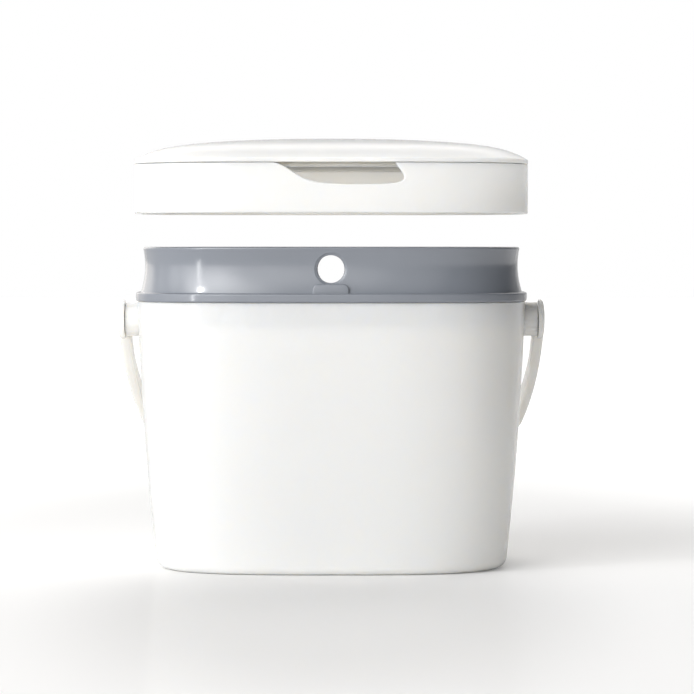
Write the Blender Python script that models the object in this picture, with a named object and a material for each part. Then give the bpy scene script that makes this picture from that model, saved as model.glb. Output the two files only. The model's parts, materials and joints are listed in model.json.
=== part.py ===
"""Kitchen compost bin with a lifted-off lid, a liner ring and a carrying bail.

Metres, +Z up, front towards -Y. The origin is the middle of the underside.
Every shell shares one rounded plan, a superellipse, and is drawn in from it
by an inset. The lid floats above the ring as it does when it is taken off,
and the bail hangs behind the bin on its stops.
"""

import math

import bmesh
import bpy
from mathutils import Vector

MM = 0.001

# Overall plan, shared by every shell
PLAN_WIDTH = 229.2 * MM
PLAN_DEPTH = 180.0 * MM
PLAN_POWER = 3.2
PLAN_STEPS = 56

# Clearances
FIT = 0.3 * MM
RING_SIDE_FIT = 0.4 * MM
TAB_FIT = 0.4 * MM
OVERRUN = 6.0 * MM

# Bin body
BODY_HEIGHT = 154.8 * MM
BODY_TOP_INSET = 1.6 * MM
BODY_BASE_INSET = 12.6 * MM
BODY_BULGE = 1.6 * MM
BODY_WALL = 2.2 * MM
BODY_FLOOR = 2.8 * MM
BASE_FILLET = 6.0 * MM
RIM_ROUND = 0.5 * MM
WALL_RINGS = 6

# Liner ring: ledge, waisted collar and the skirt that plugs into the body
LEDGE_THICKNESS = 4.9 * MM
LEDGE_INSET = 0.6 * MM
LEDGE_ROUND = 0.8 * MM
COLLAR_HEIGHT = 26.3 * MM
COLLAR_WALL = 2.0 * MM
COLLAR_FOOT_INSET = 3.3 * MM
COLLAR_WAIST_INSET = 5.9 * MM
COLLAR_TOP_INSET = 4.7 * MM
COLLAR_WAIST_SHARE = 0.6
COLLAR_RING_SHARES = (0.14, 0.3, 0.45, 0.6, 0.75, 0.88)
PLUG_DEPTH = 13.0 * MM
PLUG_WALL = 1.8 * MM
PLUG_LEAD = 0.6 * MM

# Bag holes through the collar, front and back
FRONT_HOLE_RADIUS = 7.6 * MM
BACK_HOLE_RADIUS = 9.0 * MM
BACK_HOLE_DROP = 1.4 * MM
HOLE_HEIGHT = 14.0 * MM
HOLE_FLARE = 1.6 * MM
HOLE_FLARE_DEPTH = 1.1 * MM
HOLE_STEPS = 40

# Tab that stands on the ledge under the front hole
TAB_WIDTH = 20.4 * MM
TAB_HEIGHT = 5.4 * MM
TAB_CORNER = 3.0 * MM
TAB_EDGE = 0.5 * MM
TAB_CORNER_STEPS = 5

# Lid
LID_LIFT = 45.1 * MM
SKIRT_HEIGHT = 28.5 * MM
SKIRT_WALL = 2.0 * MM
SKIRT_ROUND = 0.8 * MM
SEAM_CHAMFER = 0.45 * MM
FLANGE_REACH = 4.4 * MM
FLANGE_THICKNESS = 1.5 * MM
LID_EDGE = 2.6 * MM
LID_EDGE_ROUND = 0.8 * MM
EDGE_TURN_SHARE = 0.3
CROWN_RISE = 7.0 * MM
SHOULDER_RISE = 6.3 * MM
SHOULDER_POWER = 10
DOME_WALL = 2.0 * MM
DOME_RING_SHARES = (0.98, 0.955, 0.915, 0.86, 0.78, 0.65, 0.45, 0.2)

# Finger notch in the front of the skirt, a run of Bezier curves given as
# shares of its width (to the right) and its depth (downwards)
NOTCH_WIDTH = 74.0 * MM
NOTCH_DEPTH = 12.2 * MM
NOTCH_RIGHT = 41.6 * MM
NOTCH_CURVE_SHARES = (
    ((0.0, 0.0), (0.16, 0.2), (0.15, 0.9), (0.46, 0.98)),
    ((0.46, 0.98), (0.62, 1.02), (0.8, 1.0), (0.9, 0.96)),
    ((0.9, 0.96), (0.99, 0.93), (1.02, 0.76), (0.99, 0.48)),
    ((0.99, 0.48), (0.98, 0.36), (0.95, 0.2), (0.935, 0.0)),
)
NOTCH_CURVE_STEPS = 7

# Inner cover of the lid and its seal
COVER_THICKNESS = 1.5 * MM
COVER_STEP_INSET = 12.0 * MM
COVER_STEP_RUN = 4.0 * MM
COVER_STEP_RISE = 3.0 * MM
SEAL_WIDTH = 3.1 * MM
SEAL_ROUND = 1.0 * MM
SEAL_RIB = 1.5 * MM
SEAL_RIB_DEPTH = 2.4 * MM

# Pivots of the bail
PIVOT_DROP = 11.0 * MM
BOSS_RADIUS = 9.9 * MM
BOSS_REACH = 6.3 * MM
BOSS_ROUND = 0.6 * MM
BOSS_PAD_SHARE = 0.5
PIN_RADIUS = 3.0 * MM
PIN_DEPTH = 5.4 * MM
PIN_LEAD = 0.4 * MM
PIN_HEAD_RADIUS = 4.6 * MM
PIN_HEAD_THICKNESS = 1.0 * MM
TURN_STEPS = 32

# Bail: two arms with eyes, and a grip that carries both corners
EYE_GAP = 0.4 * MM
EYE_RADIUS = 11.45 * MM
EYE_THICKNESS = 3.7 * MM
EYE_RIM_SHARE = 0.45
EYE_SEAT_SHARE = 0.6
EYE_SINK = 0.2 * MM
EYE_LAP = 1.2 * MM
ARM_LENGTH = 120.0 * MM
ARM_BOW = 7.8 * MM
ARM_BOW_POWER = 2.6
ARM_THICKNESS = 5.4 * MM
ARM_ROOT_THICKNESS = 6.5 * MM
ARM_ROOT_START = 12.4 * MM
ARM_ROOT_RUN = 2.2 * MM
ARM_ROOT_EASE = 40.0 * MM
GRIP_START = 100.0 * MM
GRIP_CORNER = 26.0 * MM
GRIP_THICKNESS = 10.0 * MM
BAIL_WIDTH = 12.0 * MM
BAIL_EDGE = 1.4 * MM
ARM_STEPS = 6
GRIP_END_STEPS = 2
CORNER_STEPS = 7
BAIL_HANG = math.radians(31.0)

# Heights and reaches that follow from the sizes above
LEDGE_UNDERSIDE = BODY_HEIGHT + FIT
LEDGE_TOP = LEDGE_UNDERSIDE + LEDGE_THICKNESS
COLLAR_TOP = LEDGE_TOP + COLLAR_HEIGHT
HOLE_CENTRE = LEDGE_TOP + HOLE_HEIGHT
SKIRT_BOTTOM = LEDGE_TOP + FIT + LID_LIFT
SEAM = SKIRT_BOTTOM + SKIRT_HEIGHT
PIVOT_HEIGHT = BODY_HEIGHT - PIVOT_DROP
BOSS_END = PLAN_WIDTH / 2 + BOSS_REACH
EYE_START = BOSS_END + EYE_GAP
EYE_END = EYE_START + EYE_THICKNESS
PIN_BORE = PIN_RADIUS + FIT

WHITE = (0.90, 0.90, 0.88)
GREY = (0.33, 0.35, 0.39)
SEAL_GREY = (0.22, 0.23, 0.24)


def clear_scene():
    """Remove every object of the file that the script starts in."""
    for item in list(bpy.data.objects):
        bpy.data.objects.remove(item, do_unlink=True)


def finish(name, colour, roughness):
    """A plain Principled material with the colour of the piece."""
    material = bpy.data.materials.new(name)
    material.use_nodes = True
    shader = material.node_tree.nodes["Principled BSDF"]
    shader.inputs["Base Color"].default_value = (*colour, 1.0)
    shader.inputs["Roughness"].default_value = roughness
    shader.inputs["Metallic"].default_value = 0.0
    return material


def to_object(name, mesh, material=None):
    """Turn a bmesh into a smooth shaded object of the scene."""
    bmesh.ops.recalc_face_normals(mesh, faces=mesh.faces[:])
    data = bpy.data.meshes.new(name)
    mesh.to_mesh(data)
    mesh.free()
    data.shade_smooth()
    data.set_sharp_from_angle(angle=math.radians(32.0))
    item = bpy.data.objects.new(name, data)
    if material is not None:
        data.materials.append(material)
    bpy.context.scene.collection.objects.link(item)
    return item


def skin(rings, closed=False):
    """Faces between rings of equal length, with an end cap or joined up."""
    mesh = bmesh.new()
    rows = [[mesh.verts.new(point) for point in ring] for ring in rings]
    followers = rows[1:] + rows[:1] if closed else rows[1:]
    for row, follower in zip(rows, followers):
        for near in range(len(row)):
            far = (near + 1) % len(row)
            mesh.faces.new((row[near], row[far], follower[far], follower[near]))
    if not closed:
        mesh.faces.new(rows[0])
        mesh.faces.new(rows[-1])
    return mesh


def helper(item):
    """Mark an object that only shapes another one."""
    item.hide_render = True
    item.display_type = "WIRE"
    return item


def combine(item, other, operation):
    """Cut or join another object with an exact Boolean."""
    modifier = item.modifiers.new(other.name, "BOOLEAN")
    modifier.operation = operation
    modifier.solver = "EXACT"
    modifier.object = helper(other)


def half_sizes(inset):
    """Half width and half depth of the plan after an inset.

    The inset is the same all round near the edge, and eases towards the
    plan's own proportions in the middle, so that the two reach zero together.
    """
    ease = (1 - PLAN_DEPTH / PLAN_WIDTH) * inset / (PLAN_WIDTH / 2)
    return PLAN_WIDTH / 2 - inset, PLAN_DEPTH / 2 - inset * (1 - ease)


def plan_ring(inset, height):
    """The rounded plan, drawn in by an inset, at one height."""
    half_width, half_depth = half_sizes(inset)
    ring = []
    for step in range(PLAN_STEPS):
        turn = 2 * math.pi * step / PLAN_STEPS
        across = abs(math.cos(turn)) / half_width
        along = abs(math.sin(turn)) / half_depth
        reach = (across ** PLAN_POWER + along ** PLAN_POWER) ** (-1 / PLAN_POWER)
        ring.append(Vector((reach * math.cos(turn), reach * math.sin(turn), height)))
    return ring


def plan_shell(section, closed=False):
    """Carry a section of (inset, height) pairs round the plan."""
    return skin([plan_ring(inset, height) for inset, height in section], closed)


def axis_ring(radius, reach, side, centre):
    """A circle round the pivot axis, at a reach out to one side."""
    ring = []
    for step in range(TURN_STEPS):
        turn = 2 * math.pi * step / TURN_STEPS
        ring.append(Vector((side * reach, radius * math.cos(turn), centre + radius * math.sin(turn))))
    return ring


def body_inset(height):
    """Inset of the body's outer wall: a straight draft with a slight bulge."""
    share = height / BODY_HEIGHT
    draft = BODY_BASE_INSET + (BODY_TOP_INSET - BODY_BASE_INSET) * share
    return draft - 4 * BODY_BULGE * share * (1 - share)


def body_reach(along, height):
    """How far out the body's side stands at a depth and a height."""
    half_width, half_depth = half_sizes(body_inset(height))
    share = (abs(along) / half_depth) ** PLAN_POWER
    return half_width * (1 - share) ** (1 / PLAN_POWER)


def fillet_section(inset, height, radius, steps=4):
    """Quarter round from a flat underside up to a wall at the inset."""
    section = []
    for step in range(steps + 1):
        turn = math.pi / 2 * step / steps
        section.append((inset + radius * (1 - math.sin(turn)), height + radius * (1 - math.cos(turn))))
    return section


def make_body(white):
    """Tapered bucket with a bulged wall, a filleted base and a flat rim."""
    section = fillet_section(body_inset(BASE_FILLET), 0.0, BASE_FILLET)
    wall_rise = BODY_HEIGHT - RIM_ROUND - BASE_FILLET
    for step in range(1, WALL_RINGS + 1):
        height = BASE_FILLET + wall_rise * step / WALL_RINGS
        section.append((body_inset(height), height))
    section.append((BODY_TOP_INSET + RIM_ROUND, BODY_HEIGHT))
    section.append((BODY_TOP_INSET + BODY_WALL - RIM_ROUND, BODY_HEIGHT))
    for step in range(WALL_RINGS, 0, -1):
        height = BASE_FILLET + wall_rise * step / WALL_RINGS
        section.append((body_inset(height) + BODY_WALL, height))
    inner_fillet = BASE_FILLET - BODY_WALL
    inner = fillet_section(body_inset(BASE_FILLET) + BODY_WALL, BODY_FLOOR, inner_fillet, 3)
    section.extend(reversed(inner))
    return to_object("bin_body", plan_shell(section), white)


def collar_inset(share):
    """Inset of the collar's waisted outer face, from its foot to its top."""
    if share < COLLAR_WAIST_SHARE:
        away = (COLLAR_WAIST_SHARE - share) / COLLAR_WAIST_SHARE
        return COLLAR_WAIST_INSET - (COLLAR_WAIST_INSET - COLLAR_FOOT_INSET) * away ** 2
    away = (share - COLLAR_WAIST_SHARE) / (1 - COLLAR_WAIST_SHARE)
    return COLLAR_WAIST_INSET - (COLLAR_WAIST_INSET - COLLAR_TOP_INSET) * away ** 2


def ring_section():
    """Closed section of the liner ring, from the ledge round to the plug."""
    section = [
        (LEDGE_INSET + LEDGE_ROUND, LEDGE_UNDERSIDE),
        (LEDGE_INSET, LEDGE_UNDERSIDE + LEDGE_ROUND),
        (LEDGE_INSET, LEDGE_TOP - LEDGE_ROUND),
        (LEDGE_INSET + LEDGE_ROUND, LEDGE_TOP),
        (COLLAR_FOOT_INSET, LEDGE_TOP),
    ]
    for share in COLLAR_RING_SHARES:
        section.append((collar_inset(share), LEDGE_TOP + COLLAR_HEIGHT * share))
    lip = COLLAR_WALL / 2
    for step in range(4):
        turn = math.pi * step / 3
        across = COLLAR_TOP_INSET + lip * (1 - math.cos(turn))
        section.append((across, COLLAR_TOP - lip + lip * math.sin(turn)))
    for share in reversed(COLLAR_RING_SHARES[1::2]):
        section.append((collar_inset(share) + COLLAR_WALL, LEDGE_TOP + COLLAR_HEIGHT * share))
    plug_top = body_inset(BODY_HEIGHT) + BODY_WALL + RING_SIDE_FIT
    plug_foot_height = BODY_HEIGHT - PLUG_DEPTH
    plug_foot = body_inset(plug_foot_height) + BODY_WALL + RING_SIDE_FIT
    section.extend([
        (plug_top + PLUG_WALL, LEDGE_TOP),
        (plug_foot + PLUG_WALL, plug_foot_height + PLUG_LEAD),
        (plug_foot + PLUG_WALL - PLUG_LEAD, plug_foot_height),
        (plug_foot + PLUG_LEAD, plug_foot_height),
        (plug_foot, plug_foot_height + PLUG_LEAD),
        (plug_top, LEDGE_UNDERSIDE),
    ])
    return section


def hole_cutter(name, side, radius, height):
    """Flared cutter through one wall of the collar, front (-1) or back (1)."""
    face = half_sizes(COLLAR_WAIST_INSET)[1]
    outer = radius + 2 * HOLE_FLARE
    stations = [
        (radius, face - COLLAR_WALL - OVERRUN),
        (radius, face - HOLE_FLARE_DEPTH),
        (radius + HOLE_FLARE, face),
        (outer, face + HOLE_FLARE_DEPTH),
        (outer, face + OVERRUN),
    ]
    rings = []
    for size, depth in stations:
        ring = []
        for step in range(HOLE_STEPS):
            turn = 2 * math.pi * step / HOLE_STEPS
            ring.append(Vector((size * math.cos(turn), side * depth, height + size * math.sin(turn))))
        rings.append(ring)
    return to_object(name, skin(rings))


def make_tab():
    """Rounded tab on the ledge, with its face just inside the lid's skirt."""
    half = TAB_WIDTH / 2
    foot = LEDGE_TOP - LEDGE_ROUND
    top = LEDGE_TOP + TAB_HEIGHT
    outline = [(-half, foot), (half, foot)]
    for centre, start in ((half - TAB_CORNER, 0.0), (TAB_CORNER - half, math.pi / 2)):
        for step in range(TAB_CORNER_STEPS + 1):
            turn = start + math.pi / 2 * step / TAB_CORNER_STEPS
            across = centre + TAB_CORNER * math.cos(turn)
            outline.append((across, top - TAB_CORNER + TAB_CORNER * math.sin(turn)))
    face = half_sizes(SKIRT_WALL + TAB_FIT)[1]
    back = half_sizes(COLLAR_WAIST_INSET + COLLAR_WALL / 2)[1]
    middle = (foot + top) / 2
    rings = []
    for depth, shrink in ((back, 0.0), (face - TAB_EDGE, 0.0), (face, TAB_EDGE)):
        ring = []
        for across, height in outline:
            keep = 1 - shrink / half
            rise = 1 - 2 * shrink / (top - foot)
            ring.append(Vector((across * keep, -depth, middle + (height - middle) * rise)))
        rings.append(ring)
    return to_object("ring_tab", skin(rings))


def make_ring(grey):
    """Liner ring with two bag holes and the front tab."""
    ring = to_object("liner_ring", plan_shell(ring_section(), closed=True), grey)
    front = hole_cutter("front_hole", -1, FRONT_HOLE_RADIUS, HOLE_CENTRE)
    back = hole_cutter("back_hole", 1, BACK_HOLE_RADIUS, HOLE_CENTRE - BACK_HOLE_DROP)
    combine(ring, front, "DIFFERENCE")
    combine(ring, back, "DIFFERENCE")
    combine(ring, make_tab(), "UNION")
    return ring


def bezier(points, share):
    """Point on one cubic Bezier curve of four control points."""
    rest = 1 - share
    weights = (rest ** 3, 3 * rest ** 2 * share, 3 * rest * share ** 2, share ** 3)
    return tuple(sum(w * p[i] for w, p in zip(weights, points)) for i in (0, 1))


def notch_outline():
    """Finger notch as (across, height) points, open at the seam."""
    left = NOTCH_RIGHT - NOTCH_WIDTH
    outline = []
    for curve in NOTCH_CURVE_SHARES:
        for step in range(NOTCH_CURVE_STEPS):
            across, down = bezier(curve, step / NOTCH_CURVE_STEPS)
            outline.append((left + NOTCH_WIDTH * across, SEAM - NOTCH_DEPTH * down))
    end = NOTCH_CURVE_SHARES[-1][-1][0]
    outline.append((left + NOTCH_WIDTH * end, SEAM))
    outline.append((left + NOTCH_WIDTH * end, SEAM + OVERRUN))
    outline.append((left, SEAM + OVERRUN))
    return outline


def make_notch_cutter():
    """Prism through the front wall of the skirt, with the notch's outline."""
    near = PLAN_DEPTH / 2 + OVERRUN
    far = PLAN_DEPTH / 2 - FLANGE_REACH - OVERRUN
    rings = []
    for depth in (near, far):
        rings.append([Vector((across, -depth, height)) for across, height in notch_outline()])
    return to_object("notch_cutter", skin(rings))


def make_skirt(white):
    """Upright band of the lid with an inward top flange and the notch."""
    top = SEAM - FIT / 2
    flange = top - FLANGE_THICKNESS
    section = [
        (SKIRT_ROUND, SKIRT_BOTTOM),
        (0.0, SKIRT_BOTTOM + SKIRT_ROUND),
        (0.0, top - SEAM_CHAMFER),
        (SEAM_CHAMFER, top),
        (FLANGE_REACH, top),
        (FLANGE_REACH, flange),
        (SKIRT_WALL, flange),
        (SKIRT_WALL, SKIRT_BOTTOM + SKIRT_ROUND),
        (SKIRT_WALL - SKIRT_ROUND / 2, SKIRT_BOTTOM),
    ]
    skirt = to_object("lid_skirt", plan_shell(section, closed=True), white)
    combine(skirt, make_notch_cutter(), "DIFFERENCE")
    return skirt


def dome_rise(inset):
    """Height of the dome over the seam: a crown and a rounded shoulder."""
    share = 1 - inset / (PLAN_WIDTH / 2)
    return LID_EDGE + CROWN_RISE * (1 - share ** 2) + SHOULDER_RISE * (1 - share ** SHOULDER_POWER)


def make_lid_top(white):
    """Domed plate whose rim sits on the skirt."""
    bottom = SEAM + FIT / 2
    edge_top = SEAM + LID_EDGE
    section = []
    for share in reversed(DOME_RING_SHARES[2:]):
        inset = PLAN_WIDTH / 2 * (1 - share)
        section.append((inset, SEAM + dome_rise(inset) - DOME_WALL))
    section.extend([
        (FLANGE_REACH, SEAM + dome_rise(FLANGE_REACH) - DOME_WALL),
        (FLANGE_REACH, bottom),
        (SEAM_CHAMFER, bottom),
        (0.0, bottom + SEAM_CHAMFER),
        (0.0, edge_top - LID_EDGE_ROUND),
        (LID_EDGE_ROUND * EDGE_TURN_SHARE, edge_top - LID_EDGE_ROUND * EDGE_TURN_SHARE),
    ])
    for share in DOME_RING_SHARES:
        inset = PLAN_WIDTH / 2 * (1 - share)
        section.append((inset, SEAM + dome_rise(inset)))
    return to_object("lid_top", plan_shell(section), white)


def make_cover(white):
    """Inner cover of the lid with a raised panel and the seal's inner rib."""
    edge = FLANGE_REACH + FIT
    under = SEAM + dome_rise(edge) - DOME_WALL - FIT - COVER_THICKNESS
    rib = edge + FIT + SEAL_WIDTH + FIT
    step = COVER_STEP_INSET
    section = [
        (step + COVER_STEP_RUN, under + COVER_STEP_RISE),
        (step, under),
        (rib + SEAL_RIB, under),
        (rib + SEAL_RIB, under - SEAL_RIB_DEPTH),
        (rib, under - SEAL_RIB_DEPTH),
        (rib, under),
        (edge, under),
        (edge, under + COVER_THICKNESS),
        (step, under + COVER_THICKNESS),
        (step + COVER_STEP_RUN, under + COVER_STEP_RISE + COVER_THICKNESS),
    ]
    return to_object("lid_cover", plan_shell(section), white)


def make_seal(rubber):
    """Soft ring that meets the collar's lip when the lid is shut."""
    edge = FLANGE_REACH + FIT
    start = edge + FIT
    end = start + SEAL_WIDTH
    top = SEAM + dome_rise(edge) - DOME_WALL - FIT - COVER_THICKNESS - FIT
    bottom = COLLAR_TOP + LID_LIFT + FIT
    section = [
        (start, top),
        (end, top),
        (end, bottom + SEAL_ROUND),
        (end - SEAL_ROUND, bottom),
        (start + SEAL_ROUND, bottom),
        (start, bottom + SEAL_ROUND),
    ]
    return to_object("lid_seal", plan_shell(section, closed=True), rubber)


def make_boss(name, side, white):
    """Pivot boss whose foot follows the body's side, with a blind pin bore."""
    def foot_ring(radius):
        ring = axis_ring(radius, 0.0, side, PIVOT_HEIGHT)
        for point in ring:
            point.x = side * (body_reach(point.y, point.z) + FIT)
        return ring
    rings = [
        foot_ring(BOSS_RADIUS * BOSS_PAD_SHARE),
        foot_ring(BOSS_RADIUS),
        axis_ring(BOSS_RADIUS, BOSS_END - BOSS_ROUND, side, PIVOT_HEIGHT),
        axis_ring(BOSS_RADIUS - BOSS_ROUND, BOSS_END, side, PIVOT_HEIGHT),
        axis_ring(PIN_BORE, BOSS_END, side, PIVOT_HEIGHT),
        axis_ring(PIN_BORE, BOSS_END - PIN_DEPTH - FIT, side, PIVOT_HEIGHT),
    ]
    return to_object(name, skin(rings), white)


def make_pin(name, side, white):
    """Headed pivot pin, sunk flush in the eye and pressed into the boss."""
    seat = EYE_START + EYE_THICKNESS * EYE_SEAT_SHARE + FIT
    head = seat + PIN_HEAD_THICKNESS
    stations = [
        (PIN_RADIUS - PIN_LEAD, BOSS_END - PIN_DEPTH),
        (PIN_RADIUS, BOSS_END - PIN_DEPTH + PIN_LEAD),
        (PIN_RADIUS, seat),
        (PIN_HEAD_RADIUS, seat),
        (PIN_HEAD_RADIUS, head - PIN_LEAD),
        (PIN_HEAD_RADIUS - PIN_LEAD, head),
    ]
    rings = [axis_ring(radius, reach, side, PIVOT_HEIGHT) for radius, reach in stations]
    return to_object(name, skin(rings), white)


def make_eye(name, side):
    """Domed disc of the bail round the pin, in the bail's own frame."""
    seat = EYE_START + EYE_THICKNESS * EYE_SEAT_SHARE
    shoulder = EYE_START + EYE_THICKNESS * EYE_RIM_SHARE
    sink = PIN_HEAD_RADIUS + FIT
    section = [(PIN_BORE, EYE_START), (EYE_RADIUS, EYE_START), (EYE_RADIUS, shoulder)]
    for step in range(1, 4):
        turn = math.pi / 2 * step / 4
        radius = sink + (EYE_RADIUS - sink) * math.cos(turn)
        section.append((radius, shoulder + (EYE_END - shoulder) * math.sin(turn)))
    section.extend([(sink, EYE_END), (sink, seat), (PIN_BORE, seat)])
    rings = [axis_ring(radius, reach, side, 0.0) for radius, reach in section]
    return to_object(name, skin(rings, closed=True))


def arm_thickness(along):
    """Thin inside the eye, thickest at the arm's root, then easing off."""
    if along <= ARM_ROOT_START:
        return EYE_THICKNESS - EYE_SINK
    share = min(1.0, (along - ARM_ROOT_START) / ARM_ROOT_EASE)
    return ARM_ROOT_THICKNESS + (ARM_THICKNESS - ARM_ROOT_THICKNESS) * share


def arm_station(along):
    """Outer line of the bail's arm at one place: (across, along, lean, thickness).

    The line bows inward, faster and faster, by a power of the distance from
    the pivot. Lean is its turn away from the arm's first direction.
    """
    share = along / ARM_LENGTH
    across = EYE_END - ARM_BOW * share ** ARM_BOW_POWER
    slope = ARM_BOW * ARM_BOW_POWER / ARM_LENGTH * share ** (ARM_BOW_POWER - 1)
    return across, along, math.atan(slope), arm_thickness(along)


def arm_stations():
    """Stations of an arm from inside its eye to its butt end."""
    places = [PIN_HEAD_RADIUS + FIT + EYE_LAP, ARM_ROOT_START]
    first = ARM_ROOT_START + ARM_ROOT_RUN
    for step in range(ARM_STEPS + 1):
        places.append(first + (GRIP_START - first) * step / ARM_STEPS)
    return [arm_station(along) for along in places]


def grip_stations():
    """Stations of half the grip, round its corner and square to the middle."""
    stations = []
    for step in range(GRIP_END_STEPS + 1):
        share = step / GRIP_END_STEPS
        start = GRIP_START + FIT
        stations.append(arm_station(start + (ARM_LENGTH - start) * share))
    across, along, lean, thickness = stations[-1]
    middle = (across - GRIP_CORNER * math.cos(lean), along - GRIP_CORNER * math.sin(lean))
    for step in range(1, CORNER_STEPS + 1):
        share = step / CORNER_STEPS
        turn = lean + (math.pi / 2 - lean) * share
        across = middle[0] + GRIP_CORNER * math.cos(turn)
        along = middle[1] + GRIP_CORNER * math.sin(turn)
        swell = thickness + (GRIP_THICKNESS - thickness) * share
        stations.append((across, along, turn, swell))
    stations.append((0.0, along, math.pi / 2, GRIP_THICKNESS))
    return stations


def strap_ring(side, station):
    """Rectangle with cut corners, square to the bail's line."""
    across, along, turn, thickness = station
    half = BAIL_WIDTH / 2
    section = (
        (0.0, BAIL_EDGE - half), (0.0, half - BAIL_EDGE),
        (BAIL_EDGE, half), (thickness - BAIL_EDGE, half),
        (thickness, half - BAIL_EDGE), (thickness, BAIL_EDGE - half),
        (thickness - BAIL_EDGE, -half), (BAIL_EDGE, -half),
    )
    ring = []
    for depth, width in section:
        inward = across - depth * math.cos(turn)
        ring.append(Vector((side * inward, along - depth * math.sin(turn), width)))
    return ring


def hang(item):
    """Set a piece of the bail on the pivot axis and turn it onto its stop."""
    item.location = (0.0, 0.0, PIVOT_HEIGHT)
    item.rotation_euler = (-BAIL_HANG, 0.0, 0.0)
    return item


def make_arm(name, side, white):
    """Arm of the bail with its eye."""
    rings = [strap_ring(side, station) for station in arm_stations()]
    arm = hang(to_object(name, skin(rings), white))
    combine(arm, hang(make_eye(f"{name}_eye", side)), "UNION")


def make_grip(white):
    """Grip of the bail, whose ends butt against the arms."""
    half = grip_stations()
    rings = [strap_ring(1, station) for station in half]
    rings.extend(strap_ring(-1, station) for station in reversed(half[:-1]))
    hang(to_object("handle", skin(rings), white))


def main():
    """Build the bin piece by piece."""
    clear_scene()
    white = finish("white_plastic", WHITE, 0.22)
    grey = finish("grey_plastic", GREY, 0.26)
    rubber = finish("seal_rubber", SEAL_GREY, 0.6)
    make_body(white)
    make_ring(grey)
    make_lid_top(white)
    make_skirt(white)
    make_cover(white)
    make_seal(rubber)
    for word, side in (("left", -1), ("right", 1)):
        make_boss(f"pivot_boss_{word}", side, white)
        make_pin(f"pivot_pin_{word}", side, white)
        make_arm(f"handle_arm_{word}", side, white)
    make_grip(white)
    bpy.context.view_layer.update()


main()
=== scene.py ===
"""Looks of a kitchen compost bin: fine shells, materials, floor, light and camera.

The file is laid out as a Blender add-on and is run as a script. Metres, +Z up,
front towards -Y. Every shell shares one rounded plan, a superellipse that is
drawn in by an inset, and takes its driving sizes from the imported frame.
"""

import json
import math

import bmesh
import bpy
import numpy as np
from bpy.props import FloatProperty, FloatVectorProperty, PointerProperty
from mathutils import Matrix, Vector


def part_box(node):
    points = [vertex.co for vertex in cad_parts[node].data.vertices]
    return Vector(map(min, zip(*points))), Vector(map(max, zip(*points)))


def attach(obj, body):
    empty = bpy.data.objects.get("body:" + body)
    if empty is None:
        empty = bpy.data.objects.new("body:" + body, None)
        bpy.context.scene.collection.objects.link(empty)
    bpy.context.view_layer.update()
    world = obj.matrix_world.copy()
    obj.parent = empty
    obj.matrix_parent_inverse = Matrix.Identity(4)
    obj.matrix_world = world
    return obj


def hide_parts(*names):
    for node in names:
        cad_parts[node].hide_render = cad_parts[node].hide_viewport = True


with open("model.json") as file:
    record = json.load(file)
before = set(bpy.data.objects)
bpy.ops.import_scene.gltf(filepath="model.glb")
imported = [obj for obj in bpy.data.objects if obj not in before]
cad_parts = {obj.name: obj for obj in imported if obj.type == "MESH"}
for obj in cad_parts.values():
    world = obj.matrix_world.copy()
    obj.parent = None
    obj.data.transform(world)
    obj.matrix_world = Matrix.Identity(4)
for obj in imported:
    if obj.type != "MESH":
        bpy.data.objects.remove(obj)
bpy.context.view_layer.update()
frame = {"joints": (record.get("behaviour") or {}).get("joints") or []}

bl_info = {
    "name": "Kitchen compost bin",
    "version": (1, 0, 0),
    "blender": (4, 5, 0),
    "location": "3D View > Sidebar > Compost bin",
    "description": "Builds a compost bin with a liner ring, a lifted lid and a bail",
    "category": "Add Mesh",
}

MM = 0.001

BUCKET_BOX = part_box("bin_body")
RING_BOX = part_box("liner_ring")
PLATE_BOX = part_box("lid_top")
SKIRT_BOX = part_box("lid_skirt")
SEAL_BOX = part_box("lid_seal")
COVER_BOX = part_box("lid_cover")
ARM_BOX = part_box("handle_arm_right")
BOSS_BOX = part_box("pivot_boss_right")
PIN_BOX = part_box("pivot_pin_right")
SWING = next(joint for joint in frame["joints"] if joint["name"] == "handle_swing")

# Columns and rows of the fine shells
TURN_TABLE_STEPS = 8192
QUARTERS = 4
SHELL_SPACING = 2.4 * MM
WINDOW_SPACING = 1.2 * MM
NOTCH_SPACING = 0.6 * MM
WALL_ROWS = 20
DOME_ROWS = 40
CURVE_STEPS = 60
ROUND_STEPS = 96
ARC_STEPS = 7
STRAP_ARC_STEPS = 5
SMALL_ARC_STEPS = 4
TINY_ARC_STEPS = 3
QUARTER_TURNS = np.linspace(0, math.pi / 2, ARC_STEPS + 1)
FULL_TURNS = np.arange(ROUND_STEPS) * 2 * math.pi / ROUND_STEPS
# Straight run before a rounded edge, in rounds
FILLET_ROOM = 2
SINK_ROOM = 3
EDGE_ROOM = 4
GUARD = 0.35 * MM
LONG_SIDE = 4 * GUARD
WELD = 0.004 * MM
NEARLY_ZERO = 0.0005 * MM


def length(name, description, default):
    """A property that holds a length in metres."""
    return FloatProperty(
        name=name, description=description, default=default,
        unit="LENGTH", subtype="DISTANCE", precision=5, min=0.0,
    )


def number(name, description, default):
    """A property that holds a plain number."""
    return FloatProperty(name=name, description=description, default=default, precision=4)


def colour(name, description, default):
    """A property that holds a linear colour."""
    return FloatVectorProperty(
        name=name, description=description, default=default,
        subtype="COLOR", size=3, min=0.0, max=1.0,
    )


class PlanSizes(bpy.types.PropertyGroup):
    """The rounded plan that every shell shares."""

    width: length("Width", "Width of the lid", PLATE_BOX[1].x - PLATE_BOX[0].x)
    depth: length("Depth", "Depth of the lid", PLATE_BOX[1].y - PLATE_BOX[0].y)
    power: number("Power", "Power of the superellipse", 3.2)


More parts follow.
